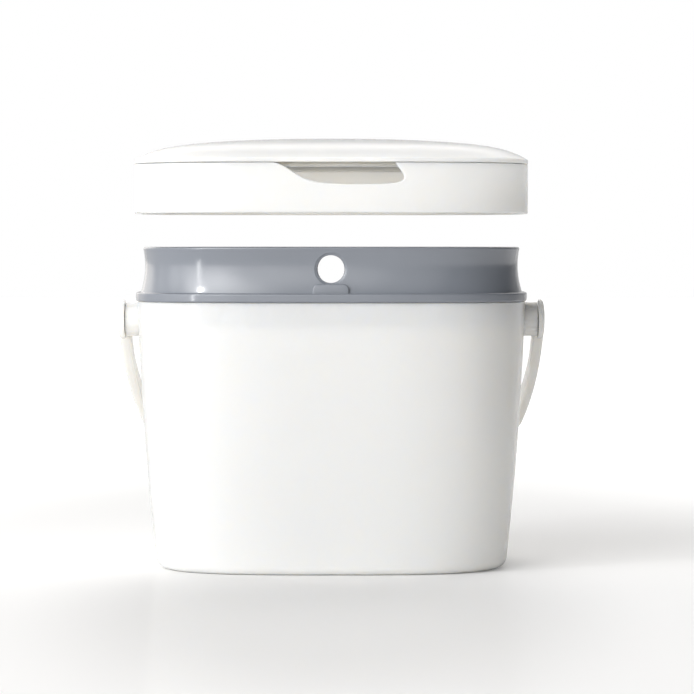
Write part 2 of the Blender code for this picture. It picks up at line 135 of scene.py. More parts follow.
class BucketSizes(bpy.types.PropertyGroup):
    """The tapered bucket."""

    height: length("Height", "Height of the rim", BUCKET_BOX[1].z)
    top_inset: length("Top inset", "Inset of the rim", 1.6 * MM)
    base_inset: length("Base inset", "Inset of the wall carried down to the floor", 12.6 * MM)
    bulge: length("Bulge", "Outward bow of the wall", 1.6 * MM)
    wall: length("Wall", "Wall thickness", 2.2 * MM)
    floor: length("Floor", "Floor thickness", 2.8 * MM)
    fillet: length("Fillet", "Round between wall and underside", 6.0 * MM)
    rim_round: length("Rim round", "Round of the rim's edges", 0.5 * MM)


class RingSizes(bpy.types.PropertyGroup):
    """The grey liner ring."""

    top: length("Top", "Height of the collar's lip", RING_BOX[1].z)
    ledge: length("Ledge", "Thickness of the ledge", 4.9 * MM)
    ledge_inset: length("Ledge inset", "Inset of the ledge", 0.6 * MM)
    ledge_round: length("Ledge round", "Round of the ledge's edges", 0.7 * MM)
    collar_height: length("Collar height", "Height of the collar", 26.3 * MM)
    wall: length("Wall", "Thickness of the collar", 2.0 * MM)
    foot_inset: length("Foot inset", "Inset of the collar's foot", 3.3 * MM)
    waist_inset: length("Waist inset", "Inset of the collar's waist", 5.9 * MM)
    top_inset: length("Top inset", "Inset of the collar's lip", 4.7 * MM)
    waist_share: number("Waist share", "Height of the waist as a share", 0.6)
    foot_round: length("Foot round", "Hollow where collar meets ledge", 0.6 * MM)
    plug_wall: length("Plug wall", "Thickness of the plug", 1.8 * MM)
    plug_fit: length("Plug fit", "Gap between plug and bucket", 0.4 * MM)
    plug_lead: length("Plug lead", "Round at the plug's foot", 0.6 * MM)
    hole: length("Front hole", "Radius of the front bag hole", 7.8 * MM)
    back_hole: length("Back hole", "Radius of the back bag hole", 9.0 * MM)
    hole_height: length("Hole height", "Front hole's centre above the ledge", 14.0 * MM)
    back_drop: length("Back drop", "How much lower the back hole is", 1.4 * MM)
    sink: length("Sink", "Width of the sunk ring round the holes", 1.3 * MM)
    sink_depth: length("Sink depth", "Depth of the sunk ring", 0.3 * MM)
    sink_round: length("Sink round", "Round of the sunk ring's edges", 0.2 * MM)
    tab_width: length("Tab width", "Width of the front tab", 20.4 * MM)
    tab_height: length("Tab height", "Height of the front tab", 5.4 * MM)
    tab_corner: length("Tab corner", "Corner radius of the tab", 3.0 * MM)
    tab_edge: length("Tab edge", "Edge round of the tab", 0.7 * MM)
    tab_inset: length("Tab inset", "Inset of the tab's face", 2.4 * MM)


class LidSizes(bpy.types.PropertyGroup):
    """The lifted lid."""

    seam: length("Seam", "Height of the seam under the plate", (SKIRT_BOX[1].z + PLATE_BOX[0].z) / 2)
    seam_gap: length("Seam gap", "Gap of the seam", PLATE_BOX[0].z - SKIRT_BOX[1].z)
    skirt_foot: length("Skirt foot", "Height of the skirt's lower edge", SKIRT_BOX[0].z)
    skirt_wall: length("Skirt wall", "Thickness of the skirt", 2.0 * MM)
    skirt_round: length("Skirt round", "Round of the skirt's lower edge", 0.8 * MM)
    seam_round: length("Seam round", "Round of the edges at the seam", 0.45 * MM)
    edge: length("Edge", "Upright edge of the plate", 2.6 * MM)
    edge_round: length("Edge round", "Round between the edge and the dome", 0.8 * MM)
    crown: length("Crown", "Rise of the crown", 6.7 * MM)
    shoulder: length("Shoulder", "Rise of the shoulder", 6.3 * MM)
    shoulder_power: number("Shoulder power", "Tightness of the shoulder", 10.0)
    plate: length("Plate", "Thickness of the plate", 2.0 * MM)
    flange: length("Flange", "Reach of the flange under the plate", 4.4 * MM)
    flange_thickness: length("Flange thickness", "Thickness of the flange", 1.5 * MM)
    notch_width: length("Notch width", "Width of the finger notch", 74.0 * MM)
    notch_depth: length("Notch depth", "Depth of the finger notch", 12.2 * MM)
    notch_right: length("Notch right", "Right end of the notch from the middle", 41.6 * MM)
    notch_lip: length("Notch lip", "Round of the notch's edge", 0.7 * MM)
    cover_step: length("Cover step", "Inset of the cover's raised panel", 12.0 * MM)
    cover_run: length("Cover run", "Width of the cover's slope", 4.0 * MM)
    cover_rise: length("Cover rise", "Height of the raised panel", 3.0 * MM)
    rib: length("Rib", "Width of the rib inside the seal", 1.5 * MM)
    rib_depth: length("Rib depth", "Depth of the rib inside the seal", 0.6 * MM)
    rib_room: length("Rib room", "Height of the cover's panel over its lowest point", 2.4 * MM)
    seal_width: length("Seal width", "Width of the seal", 3.1 * MM)
    seal_round: length("Seal round", "Round of the seal's lip", 1.0 * MM)


class BailSizes(bpy.types.PropertyGroup):
    """The bail and its pivots."""

    pivot: length("Pivot height", "Height of the pivot axis", SWING["pos_m"][2])
    hang: FloatProperty(
        name="Hang", description="Angle of the arms below horizontal",
        default=math.radians(31.0), unit="ROTATION", subtype="ANGLE",
    )
    boss_radius: length("Boss radius", "Radius of the bosses", 9.9 * MM)
    boss_end: length("Boss end", "Reach of the bosses", BOSS_BOX[1].x)
    boss_round: length("Boss round", "Round of the bosses' edge", 0.6 * MM)
    boss_root: length("Boss root", "Hollow where a boss meets the bucket", 0.9 * MM)
    pin_radius: length("Pin radius", "Radius of the pins", 3.0 * MM)
    pin_head: length("Pin head", "Radius of the pins' heads", 4.6 * MM)
    pin_end: length("Pin end", "Reach of the pins", PIN_BOX[1].x)
    eye_start: length("Eye start", "Inner face of the eyes", BOSS_BOX[1].x + 0.4 * MM)
    eye_end: length("Eye end", "Outer face of the eyes", ARM_BOX[1].x)
    eye_radius: length("Eye radius", "Radius of the eyes", 11.45 * MM)
    reach: length("Reach", "Length of the arms up to the corners", 119.75 * MM)
    bow: length("Bow", "How far the arms' ends bow inward", 7.8 * MM)
    bow_power: number("Bow power", "How suddenly the arms bow inward", 2.6)
    corner: length("Corner", "Outer radius of the bail's corners", 26.0 * MM)
    arm: length("Arm", "Thickness of the arms", 5.4 * MM)
    root: length("Root", "Thickness of the arms at the eyes", 6.5 * MM)
    root_start: length("Root start", "Where the thick root starts", 12.4 * MM)
    root_ease: length("Root ease", "Length over which the root thins out", 40.0 * MM)
    grip: length("Grip", "Thickness of the grip", 10.0 * MM)
    width: length("Width", "Width of the strap", 12.0 * MM)
    strap_round: length("Strap round", "Round of the strap's edges", 1.4 * MM)


class FinishColours(bpy.types.PropertyGroup):
    """Colours of the plastics, the seal and the floor."""

    white: colour("White", "Moulded white plastic", (0.86, 0.852, 0.83))
    grey: colour("Grey", "Grey plastic of the liner ring", (0.225, 0.243, 0.275))
    seal: colour("Seal", "Soft off-white of the seal", (0.67, 0.655, 0.61))
    floor: colour("Floor", "Floor that the bin stands on", (0.86, 0.86, 0.86))


class StageSizes(bpy.types.PropertyGroup):
    """Camera, floor and light."""

    camera_side: length("Camera side", "Camera's place to the right", 9.1 * MM)
    camera_back: length("Camera distance", "Camera's distance in front", 1970.0 * MM)
    camera_height: length("Camera height", "Height of the eye", 190.0 * MM)
    aim_height: length("Aim height", "Height that the camera aims at", 127.3 * MM)
    lens: number("Lens", "Focal length in millimetres", 173.8)
    sensor: number("Sensor", "Sensor width in millimetres", 36.0)
    floor_reach: length("Floor reach", "Half width of the floor", 9000.0 * MM)


class CompostBinSettings(bpy.types.PropertyGroup):
    """All sizes and colours of the bin."""

    plan: PointerProperty(type=PlanSizes, name="Plan", description="Shared plan")
    bucket: PointerProperty(type=BucketSizes, name="Bucket", description="Bucket sizes")
    ring: PointerProperty(type=RingSizes, name="Ring", description="Liner ring sizes")
    lid: PointerProperty(type=LidSizes, name="Lid", description="Lid sizes")
    bail: PointerProperty(type=BailSizes, name="Bail", description="Bail sizes")
    colours: PointerProperty(type=FinishColours, name="Colours", description="Finish colours")
    stage: PointerProperty(type=StageSizes, name="Stage", description="Camera and floor")


# Plan, sections and grids


def joined(*columns):
    """Columns of coordinates, spread to one shape, as rows of points."""
    return np.stack(np.broadcast_arrays(*columns), axis=-1)


def running(points):
    """Running length of a line at each of its points."""
    return np.concatenate([[0.0], np.cumsum(np.linalg.norm(np.diff(points, axis=0), axis=1))])


def unit_rows(vectors):
    """Each row at length one."""
    return vectors / np.linalg.norm(vectors, axis=1)[:, None]


def half_sizes(plan, inset):
    """Half width and half depth of the plan after an inset i.

    W/2 - i and D/2 - i (1 - e), with e = (1 - D/W) i / (W/2), so that both
    reach zero together in the middle.
    """
    ease = (1 - plan.depth / plan.width) * inset / (plan.width / 2)
    return plan.width / 2 - inset, plan.depth / 2 - inset * (1 - ease)


def plan_points(plan, turn, inset, height):
    """Points of the superellipse |x/a|^p + |y/b|^p = 1, seen at a turn angle."""
    inset = np.minimum(inset, plan.width / 2 - NEARLY_ZERO)
    half_width, half_depth = half_sizes(plan, inset)
    across = np.abs(np.cos(turn)) / half_width
    along = np.abs(np.sin(turn)) / half_depth
    reach = (across ** plan.power + along ** plan.power) ** (-1 / plan.power)
    return joined(reach * np.cos(turn), reach * np.sin(turn), height)


class PlanLine:
    """Length along the plan's outline, from the front middle towards +X.

    A fine table of the outline's running length turns any length into the
    turn angle that plan_points takes.
    """

    def __init__(self, plan):
        self.turns = np.linspace(-math.pi / 2, math.pi * 3 / 2, TURN_TABLE_STEPS + 1)
        self.lengths = running(plan_points(plan, self.turns, 0.0, 0.0))
        self.total = float(self.lengths[-1])

    def turn(self, run):
        """Turn angle at a running length, which may go round more than once."""
        laps, rest = np.divmod(run, self.total)
        return np.interp(rest, self.lengths, self.turns) + 2 * math.pi * laps

    def columns(self):
        """Evenly spaced running lengths for a plain shell."""
        count = int(round(self.total / SHELL_SPACING / QUARTERS)) * QUARTERS
        return np.arange(count) * self.total / count


def grid_faces(rows, columns, wrap_rows):
    """Four corner numbers of each face of a grid, as one array."""
    row = np.arange(rows if wrap_rows else rows - 1)[:, None]
    column = np.arange(columns)[None, :]
    next_row, next_column = (row + 1) % rows, (column + 1) % columns
    corners = joined(
        row * columns + column, row * columns + next_column,
        next_row * columns + next_column, next_row * columns + column,
    )
    return corners.reshape(-1, 4)


def grid(points, wrap_rows=False, keep=None):
    """Vertices and faces of a grid of points; keep masks its faces."""
    rows, columns = points.shape[:2]
    faces = grid_faces(rows, columns, wrap_rows)
    if keep is not None:
        faces = faces[keep.reshape(-1)]
    return points.reshape(-1, 3), faces


def make_piece(name, parts, body, slot, replaced=()):
    """One object from grids: welded, closed at its poles, facing outwards."""
    vertices, faces, start = [], [], 0
    for points, corners in parts:
        vertices.append(points)
        faces.append(corners + start)
        start += len(points)
    points, corners = np.concatenate(vertices), np.concatenate(faces)
    data = bpy.data.meshes.new(name)
    data.vertices.add(len(points))
    data.vertices.foreach_set("co", points.astype(np.float32).ravel())
    data.loops.add(corners.size)
    data.loops.foreach_set("vertex_index", corners.astype(np.int32).ravel())
    data.polygons.add(len(corners))
    data.polygons.foreach_set("loop_start", np.arange(0, corners.size, 4, dtype=np.int32))
    data.update(calc_edges=True)
    mesh = bmesh.new()
    mesh.from_mesh(data)
    bmesh.ops.remove_doubles(mesh, verts=mesh.verts[:], dist=WELD)
    bmesh.ops.dissolve_degenerate(mesh, edges=mesh.edges[:], dist=WELD)
    loose = [vertex for vertex in mesh.verts if not vertex.link_faces]
    bmesh.ops.delete(mesh, geom=loose, context="VERTS")
    open_edges = [edge for edge in mesh.edges if len(edge.link_faces) != 2]
    if open_edges:
        raise RuntimeError(f"{name} has {len(open_edges)} edges that aren't closed")
    bmesh.ops.recalc_face_normals(mesh, faces=mesh.faces[:])
    if mesh.calc_volume(signed=True) < 0:
        bmesh.ops.reverse_faces(mesh, faces=mesh.faces[:])
    mesh.to_mesh(data)
    mesh.free()
    data.shade_smooth()
    item = bpy.data.objects.new(name, data)
    data.materials.append(moulded_material(slot))
    bpy.context.scene.collection.objects.link(item)
    if replaced:
        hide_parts(*replaced)
    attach(item, body)
    return item


def rounded(corners, closed=False, steps=ARC_STEPS):
    """Section with rounded corners from rows of (across, up, radius).

    A corner that turns by an angle t gets an arc of its radius r, which
    touches both sides at r tan(t / 2) from the corner.
    """
    places = np.array([corner[:2] for corner in corners], float)
    radii = [corner[2] for corner in corners]
    count, run = len(corners), []
    for index in range(count):
        inner = closed or 0 < index < count - 1
        if radii[index] <= 0 or not inner:
            run.append(places[index][None, :])
            continue
        here = places[index]
        before, after = places[index - 1] - here, places[(index + 1) % count] - here
        before, after = before / np.linalg.norm(before), after / np.linalg.norm(after)
        half = math.acos(float(np.clip(before @ after, -1, 1))) / 2
        middle = before + after
        middle = here + middle / np.linalg.norm(middle) * radii[index] / math.sin(half)
        start = here + before * radii[index] / math.tan(half) - middle
        end = here + after * radii[index] / math.tan(half) - middle
        sweep = math.pi - 2 * half
        share = np.linspace(0, 1, steps + 1)[:, None]
        arc = np.sin((1 - share) * sweep) * start + np.sin(share * sweep) * end
        run.append(middle + arc / math.sin(sweep))
    return guarded(np.concatenate(run), closed)


def guarded(run, closed):
    """Adds a point close to both ends of each long side, to keep it flat."""
    followers = np.roll(run, -1, axis=0) if closed else run[1:]
    rows = []
    for here, there in zip(run, followers):
        rows.append(here)
        side = np.linalg.norm(there - here)
        if side > LONG_SIDE:
            step = (there - here) / side * GUARD
            rows.extend([here + step, there - step])
    if not closed:
        rows.append(run[-1])
    return np.array(rows)


def capped(points, ends):
    """Grid of sections with a pole before the first one and after the last one."""
    return grid(np.concatenate([ends[0][None], points, ends[1][None]]))


def wall_rows(inset_at, heights, wall):
    """Rows of a wall's outer face upwards, and of its inner face downwards."""
    outer = [(inset_at(z), z, 0) for z in heights]
    return outer, [(inset + wall, z, 0) for inset, z, _ in outer[::-1]]


def carried(plan, line, section, runs):
    """Points of a section of (inset, height) carried round the plan."""
    return plan_points(plan, line.turn(runs)[None, :], section[:, :1], section[:, 1:])


def shell(plan, section, closed=False):
    """Grid of a section carried round the plan; an open one ends at poles."""
    line = PlanLine(plan)
    return grid(carried(plan, line, section, line.columns()), wrap_rows=closed)


# Materials


NODE_STEP = 240
NODES_IN_ROW = 6


def feed(tree, node, values):
    """Fills inputs of a node: each takes a value, or a link from an output."""
    for key, value in values.items():
        if isinstance(value, bpy.types.NodeSocket):
            tree.links.new(value, node.inputs[key])
        else:
            node.inputs[key].default_value = value


def add_node(tree, kind, values=None, **settings):
    """A node with its settings and inputs, set after the last one in rows of six."""
    row, column = divmod(len(tree.nodes), NODES_IN_ROW)
    node = tree.nodes.new(kind)
    node.location = (column * NODE_STEP, -row * NODE_STEP)
    for key, value in settings.items():
        setattr(node, key, value)
    feed(tree, node, values or {})
    return node


def math_node(tree, operation, first, second):
    """Output of a math node whose two inputs are outputs or numbers."""
    return add_node(tree, "ShaderNodeMath", {0: first, 1: second}, operation=operation).outputs[0]


MOULDED_SOCKETS = (
    ("INPUT", "Place", "Vector"), ("INPUT", "Colour", "Color"), ("INPUT", "Shade", "Color"),
    ("INPUT", "Cloud", "Float"), ("INPUT", "Gloss", "Float"), ("INPUT", "Smudge", "Float"),
    ("INPUT", "Peel", "Float"), ("OUTPUT", "Colour", "Color"), ("OUTPUT", "Roughness", "Float"),
    ("OUTPUT", "Height", "Float"),
)
MOULDED_NOISES = (
    # scale, detail and roughness of the clouds, the smudges, the peel and the waves
    (9.0, 3.0, 0.45),
    (42.0, 5.0, 0.6),
    (620.0, 2.0, 0.4),
    (38.0, 1.0, 0.4),
)
NOISE_MIDDLE = 0.5
PEEL_SHARE = 0.25
PLASTIC_IOR = 1.49
GLOW_TINT = (1.0, 0.93, 0.82)
GLOW_REACH = 6.0 * MM
FINISHES = {
    "white_plastic": {
        "name": "white_gloss_plastic", "colour": "white", "shade": (0.975, 0.965, 0.94),
        "cloud": 0.8, "gloss": 0.16, "smudge": 0.10, "peel": 0.006 * MM, "specular": 0.5, "glow": 1.0,
    },
    "grey_plastic": {
        "name": "grey_gloss_plastic", "colour": "grey", "shade": (0.93, 0.935, 0.95),
        "cloud": 0.9, "gloss": 0.15, "smudge": 0.10, "peel": 0.005 * MM, "specular": 0.9, "glow": 0.0,
    },
    "seal_rubber": {
        "name": "soft_off_white_seal", "colour": "seal", "shade": (0.8, 0.8, 0.8),
        "cloud": 0.9, "gloss": 0.6, "smudge": 0.15, "peel": 0.03 * MM, "specular": 0.35, "glow": 1.0,
    },
}


def moulded_group():
    """Moulded plastic: flow clouds in the colour, smudges in the gloss, fine peel.

    Colour goes from the base to the shade by the cloud noise, roughness is
    the gloss plus the smudge noise about its middle, and height is the sum
    of a slow waviness and a share of a fine peel.
    """
    name = "moulded_plastic"
    if name in bpy.data.node_groups:
        return bpy.data.node_groups[name]
    tree = bpy.data.node_groups.new(name, "ShaderNodeTree")
    for way, label, kind in MOULDED_SOCKETS:
        tree.interface.new_socket(name=label, in_out=way, socket_type=f"NodeSocket{kind}")
    entry = add_node(tree, "NodeGroupInput").outputs
    cloud, smudge, peel, wave = (
        add_node(tree, "ShaderNodeTexNoise", {
            "Vector": entry["Place"], "Scale": scale, "Detail": detail, "Roughness": roughness,
        }).outputs["Fac"]
        for scale, detail, roughness in MOULDED_NOISES
    )
    mix = add_node(tree, "ShaderNodeMix", {
        "Factor": math_node(tree, "MULTIPLY", cloud, entry["Cloud"]),
        "A": entry["Colour"], "B": entry["Shade"],
    }, data_type="RGBA", blend_type="MIX")
    centred = math_node(tree, "SUBTRACT", smudge, NOISE_MIDDLE)
    spread = math_node(tree, "MULTIPLY", centred, entry["Smudge"])
    both = math_node(tree, "ADD", math_node(tree, "MULTIPLY", peel, PEEL_SHARE), wave)
    add_node(tree, "NodeGroupOutput", {
        "Colour": mix.outputs["Result"],
        "Roughness": math_node(tree, "ADD", spread, entry["Gloss"]),
        "Height": math_node(tree, "MULTIPLY", both, entry["Peel"]),
    })
    return tree


def moulded_material(slot):
    """Material of a slot: moulded colour, gloss and peel, and light that spreads inside."""
    finish = FINISHES[slot]
    if finish["name"] in bpy.data.materials:
        return bpy.data.materials[finish["name"]]
    material = bpy.data.materials.new(finish["name"])
    material.use_nodes = True
    base = tuple(getattr(bpy.context.scene.compost_bin.colours, finish["colour"]))
    shade = tuple(value * share for value, share in zip(base, finish["shade"]))
    material.diffuse_color = (*base, 1.0)
    tree = material.node_tree
    surface = add_node(tree, "ShaderNodeGroup", {
        "Place": add_node(tree, "ShaderNodeTexCoord").outputs["Object"],
        "Colour": (*base, 1.0), "Shade": (*shade, 1.0),
        "Cloud": finish["cloud"], "Gloss": finish["gloss"],
        "Smudge": finish["smudge"], "Peel": finish["peel"],
    }, node_tree=moulded_group()).outputs
    bump = add_node(tree, "ShaderNodeBump", {
        "Strength": 1.0, "Distance": 1.0, "Height": surface["Height"],
    })
    feed(tree, tree.nodes["Principled BSDF"], {
        "Base Color": surface["Colour"], "Roughness": surface["Roughness"],
        "Normal": bump.outputs["Normal"], "IOR": PLASTIC_IOR,
        "Specular IOR Level": finish["specular"], "Subsurface Weight": finish["glow"],
        "Subsurface Radius": GLOW_TINT, "Subsurface Scale": GLOW_REACH,
    })
    return material


# Bucket


def bucket_inset(sizes, height):
    """Inset of the outer wall: top + (base - top)(1 - s) - 4 bulge s (1 - s)."""
    share = height / sizes.height
    draft = sizes.base_inset + (sizes.top_inset - sizes.base_inset) * share
    return draft - 4 * sizes.bulge * share * (1 - share)


def bucket_section(plan, sizes):
    """Underside, filleted base, bowed wall, rounded rim and the inside."""
    low, high = FILLET_ROOM * sizes.fillet, sizes.height - EDGE_ROOM * sizes.rim_round
    heights = np.linspace(low, high, WALL_ROWS)
    outer, inner = wall_rows(lambda z: bucket_inset(sizes, z), heights, sizes.wall)
    inner_base = bucket_inset(sizes, sizes.floor) + sizes.wall
    rim = bucket_inset(sizes, sizes.height)
    return rounded([
        (plan.width / 2, 0.0, 0), (bucket_inset(sizes, 0.0), 0.0, sizes.fillet), *outer,
        (rim, sizes.height, sizes.rim_round), (rim + sizes.wall, sizes.height, sizes.rim_round), *inner,
        (inner_base, sizes.floor, sizes.fillet - sizes.wall), (plan.width / 2, sizes.floor, 0),
    ])


class COMPOSTBIN_OT_bucket(bpy.types.Operator):
    """Adds the white bucket."""

    bl_idname = "compostbin.bucket"
    bl_label = "Bucket"

    def execute(self, context):
        settings = context.scene.compost_bin
        parts = [shell(settings.plan, bucket_section(settings.plan, settings.bucket))]
        make_piece("bucket", parts, "bin", "white_plastic", ["bin_body"])
        return {"FINISHED"}


# Liner ring


LIP_FULLNESS = 0.98
# Room round a hole in widths of its sunk ring, above the foot and under the lip in rounds
WINDOW_ROOM = 2.4
FOOT_ROOM = 1.2
LIP_ROOM = 1.3
COLUMN_SLACK = 1.001
SLIDE_STEPS = 6


def collar_inset(sizes, height):
    """Inset of the collar's face: two parabolas that meet at the waist."""
    foot = sizes.top - sizes.collar_height
    share = (height - foot) / sizes.collar_height
    below = np.clip((sizes.waist_share - share) / sizes.waist_share, 0, None)
    above = np.clip((share - sizes.waist_share) / (1 - sizes.waist_share), 0, None)
    inset = sizes.waist_inset - (sizes.waist_inset - sizes.foot_inset) * below ** 2
    return inset - (sizes.waist_inset - sizes.top_inset) * above ** 2


def ring_section(settings, heights):
    """Closed section of ledge, waisted collar, lip and plug."""
    sizes, bucket = settings.ring, settings.bucket
    ledge_top = sizes.top - sizes.collar_height
    ledge_foot = ledge_top - sizes.ledge
    plug_foot = RING_BOX[0].z
    lip = sizes.wall / 2 * LIP_FULLNESS
    inner = bucket.wall + sizes.plug_fit
    plug_low = bucket_inset(bucket, plug_foot) + inner
    plug_high = bucket_inset(bucket, bucket.height) + inner
    outer, back = wall_rows(lambda z: collar_inset(sizes, z), heights, sizes.wall)
    lead = sizes.plug_lead
    return rounded([
        (sizes.ledge_inset, ledge_foot, sizes.ledge_round),
        (sizes.ledge_inset, ledge_top, sizes.ledge_round),
        (collar_inset(sizes, ledge_top), ledge_top, sizes.foot_round), *outer,
        (sizes.top_inset, sizes.top, lip), (sizes.top_inset + sizes.wall, sizes.top, lip), *back,
        (plug_high + sizes.plug_wall, ledge_top - lead, 0),
        (plug_low + sizes.plug_wall, plug_foot, lead), (plug_low, plug_foot, lead),
        (plug_high, ledge_foot, 0),
    ], closed=True)


def ring_columns(line, middles, half):
    """Running lengths of the ring's columns, finer across the windows."""
    runs = []
    for middle, following in zip(middles, (*middles[1:], middles[0] + line.total)):
        start, end = middle - half, middle + half
        count = int(round((end - start) / WINDOW_SPACING))
        runs.append(np.linspace(start, end, count, endpoint=False))
        count = int(round((following - half - end) / SHELL_SPACING))
        runs.append(np.linspace(end, following - half, count, endpoint=False))
    return np.concatenate(runs)


def window_loop(first_row, last_row, first_column, last_column):
    """Rows and columns of the grid points round a window, anticlockwise."""
    right = [(first_row, column) for column in range(first_column, last_column)]
    up = [(row, last_column) for row in range(first_row, last_row)]
    left = [(last_row, column) for column in range(last_column, first_column, -1)]
    down = [(row, first_column) for row in range(last_row, first_row, -1)]
    return np.array(right + up + left + down)


def hole_patch(settings, line, runs, heights, centre, radius):
    """Grid from a window of the collar in to a sunk hole and out again.

    Each point of the window's edge slides straight to the hole's circle at
    the same angle. A ring round the hole is sunk by a small step, then comes
    a straight bore with a rounded edge at both ends.
    """
    sizes = settings.ring
    angle = np.arctan2(heights - centre[1], runs - centre[0])
    edge, step = sizes.sink_round, sizes.sink_depth
    section = rounded([
        (sizes.sink + SINK_ROOM * edge, 0.0, 0), (sizes.sink, 0.0, edge),
        (sizes.sink - edge, step, edge), (0.0, step + edge, 2 * edge),
        (0.0, sizes.wall, 2 * edge), (SINK_ROOM * edge, sizes.wall, 0),
    ], steps=SMALL_ARC_STEPS)
    size, depth = radius + section[:, :1], section[:, 1:]
    slide = np.linspace(0, 1, SLIDE_STEPS + 1)[:-1, None]
    shrink = half_sizes(settings.plan, sizes.waist_inset)[1] / half_sizes(settings.plan, 0.0)[1]

    def in_and_out(outline, bore):
        inward, outward = (outline * (1 - slide) + end * slide for end in (bore[:1], bore[-1:]))
        return np.concatenate([inward, bore, outward[::-1]])

    run = in_and_out(runs, centre[0] + size * np.cos(angle) / shrink)
    height = in_and_out(heights, centre[1] + size * np.sin(angle))
    rest = np.zeros((len(slide), 1))
    inset = collar_inset(sizes, height) + np.concatenate([rest, depth, rest + sizes.wall])
    return grid(plan_points(settings.plan, line.turn(run), inset, height))


def nearest_row(section, inset, height):
    """Row of a section that lies nearest to an inset and a height."""
    return int(np.argmin(np.abs(section - (inset, height)).sum(axis=1)))


def ring_parts(settings):
    """The ring's shell with two windows, and a holed patch in each."""
    plan, sizes = settings.plan, settings.ring
    line = PlanLine(plan)
    ledge_top = sizes.top - sizes.collar_height
    front = (0.0, ledge_top + sizes.hole_height)
    back = (line.total / 2, front[1] - sizes.back_drop)
    half = sizes.back_hole + WINDOW_ROOM * sizes.sink
    runs = ring_columns(line, (front[0], back[0]), half)
    low = ledge_top + FOOT_ROOM * sizes.foot_round
    high = sizes.top - LIP_ROOM * sizes.wall / 2
    rows = int(round((high - low) / WINDOW_SPACING))
    heights = np.linspace(low, high, rows)
    section = ring_section(settings, heights)
    keep = np.ones((len(section), len(runs)), bool)
    outer = nearest_row(section, collar_inset(sizes, low), low)
    inner = nearest_row(section, collar_inset(sizes, high) + sizes.wall, high)
    parts = []
    for centre, radius in ((front, sizes.hole), (back, sizes.back_hole)):
        columns = np.flatnonzero(np.abs(runs - centre[0]) <= half * COLUMN_SLACK)
        loop = window_loop(0, rows - 1, columns[0], columns[-1] + 1)
        edge_runs = runs[loop[:, 1] % len(runs)]
        parts.append(hole_patch(settings, line, edge_runs, heights[loop[:, 0]], centre, radius))
        keep[outer:outer + rows - 1, columns] = False
        keep[inner:inner + rows - 1, columns] = False
    return [grid(carried(plan, line, section, runs), wrap_rows=True, keep=keep), *parts]


def tab_part(settings):
    """Rounded tab on the ledge: its outline shrinks round a quarter edge."""
    plan, sizes = settings.plan, settings.ring
    ledge_top = sizes.top - sizes.collar_height
    half, foot = sizes.tab_width / 2, ledge_top - sizes.ledge_round
    top = ledge_top + sizes.tab_height
    outline = rounded([
        (-half, foot, sizes.tab_edge), (half, foot, sizes.tab_edge),
        (half, top, sizes.tab_corner), (-half, top, sizes.tab_corner),
    ], closed=True)
    tangent = np.roll(outline, -1, axis=0) - np.roll(outline, 1, axis=0)
    outward = unit_rows(joined(tangent[:, 1], -tangent[:, 0]))
    face = half_sizes(plan, sizes.tab_inset)[1]
    rear = half_sizes(plan, sizes.waist_inset + sizes.wall / 2)[1]
    shrink = np.concatenate([[0.0], sizes.tab_edge * (1 - np.cos(QUARTER_TURNS))])
    depth = face - sizes.tab_edge * (1 - np.sin(QUARTER_TURNS))
    depth = np.concatenate([[rear, rear], depth, [face]])
    flat = outline[None, :, :] - shrink[:, None, None] * outward[None, :, :]
    middle = np.array([0.0, (foot + top) / 2])
    poles = [middle + (end - middle) * NEARLY_ZERO for end in (flat[:1], flat[-1:])]
    flat = np.concatenate([poles[0], flat, poles[1]])
    return grid(joined(flat[..., 0], -depth[:, None], flat[..., 1]))


class COMPOSTBIN_OT_ring(bpy.types.Operator):
    """Adds the grey liner ring with its bag holes and tab."""

    bl_idname = "compostbin.ring"
    bl_label = "Liner ring"

    def execute(self, context):
        settings = context.scene.compost_bin
        make_piece("liner_collar", ring_parts(settings), "ring", "grey_plastic", ["liner_ring"])
        make_piece("collar_tab", [tab_part(settings)], "ring", "grey_plastic")
        return {"FINISHED"}


# Lid


# Start of the dome in rounds of the plate's edge, and how its rows crowd there
DOME_START = 2.2
DOME_CROWDING = 2.2
SEAM_CROWDING = 0.75
# Shares of the notch's width and depth: four Bezier curves from left to right
NOTCH_CURVE_SHARES = (
    ((0.0, 0.0), (0.16, 0.2), (0.15, 0.9), (0.46, 0.98)),
    ((0.46, 0.98), (0.62, 1.02), (0.8, 1.0), (0.9, 0.96)),
    ((0.9, 0.96), (0.99, 0.93), (1.02, 0.76), (0.99, 0.48)),
    ((0.99, 0.48), (0.98, 0.36), (0.95, 0.2), (0.935, 0.0)),
)
# How far the skirt's columns lean, and over which lengths before and after the notch's end
LEAN = 38 * MM
LEAN_BEFORE = 30 * MM
LEAN_AFTER = 120 * MM
# Round of the notch's edge at its right end, and its growth with the distance
LIP_CORNER = 0.05 * MM
LIP_GROWTH = 0.22
SKIRT_CLIMB = np.concatenate([[0.0, 0.02], np.linspace(0.06, 0.94, 12), [0.98]])[:, None]
FLANGE_COLUMNS = 260
FLANGE_END = 1.2 * MM
FLANGE_DROP = 0.05 * MM
FLANGE_ROOT = 0.7
TINY_ROUND = 0.2 * MM
SMALL_ROUND = 0.3 * MM
INSIDE_FIT = 0.3 * MM
COVER_ROUND = 0.4 * MM


def dome_rise(plan, sizes, inset):
    """Edge + crown (1 - s^2) + shoulder (1 - s^n), with s = 1 - inset / (W/2)."""
    share = 1 - inset / (plan.width / 2)
    crown = sizes.crown * (1 - share ** 2)
    return sizes.edge + crown + sizes.shoulder * (1 - np.abs(share) ** sizes.shoulder_power)


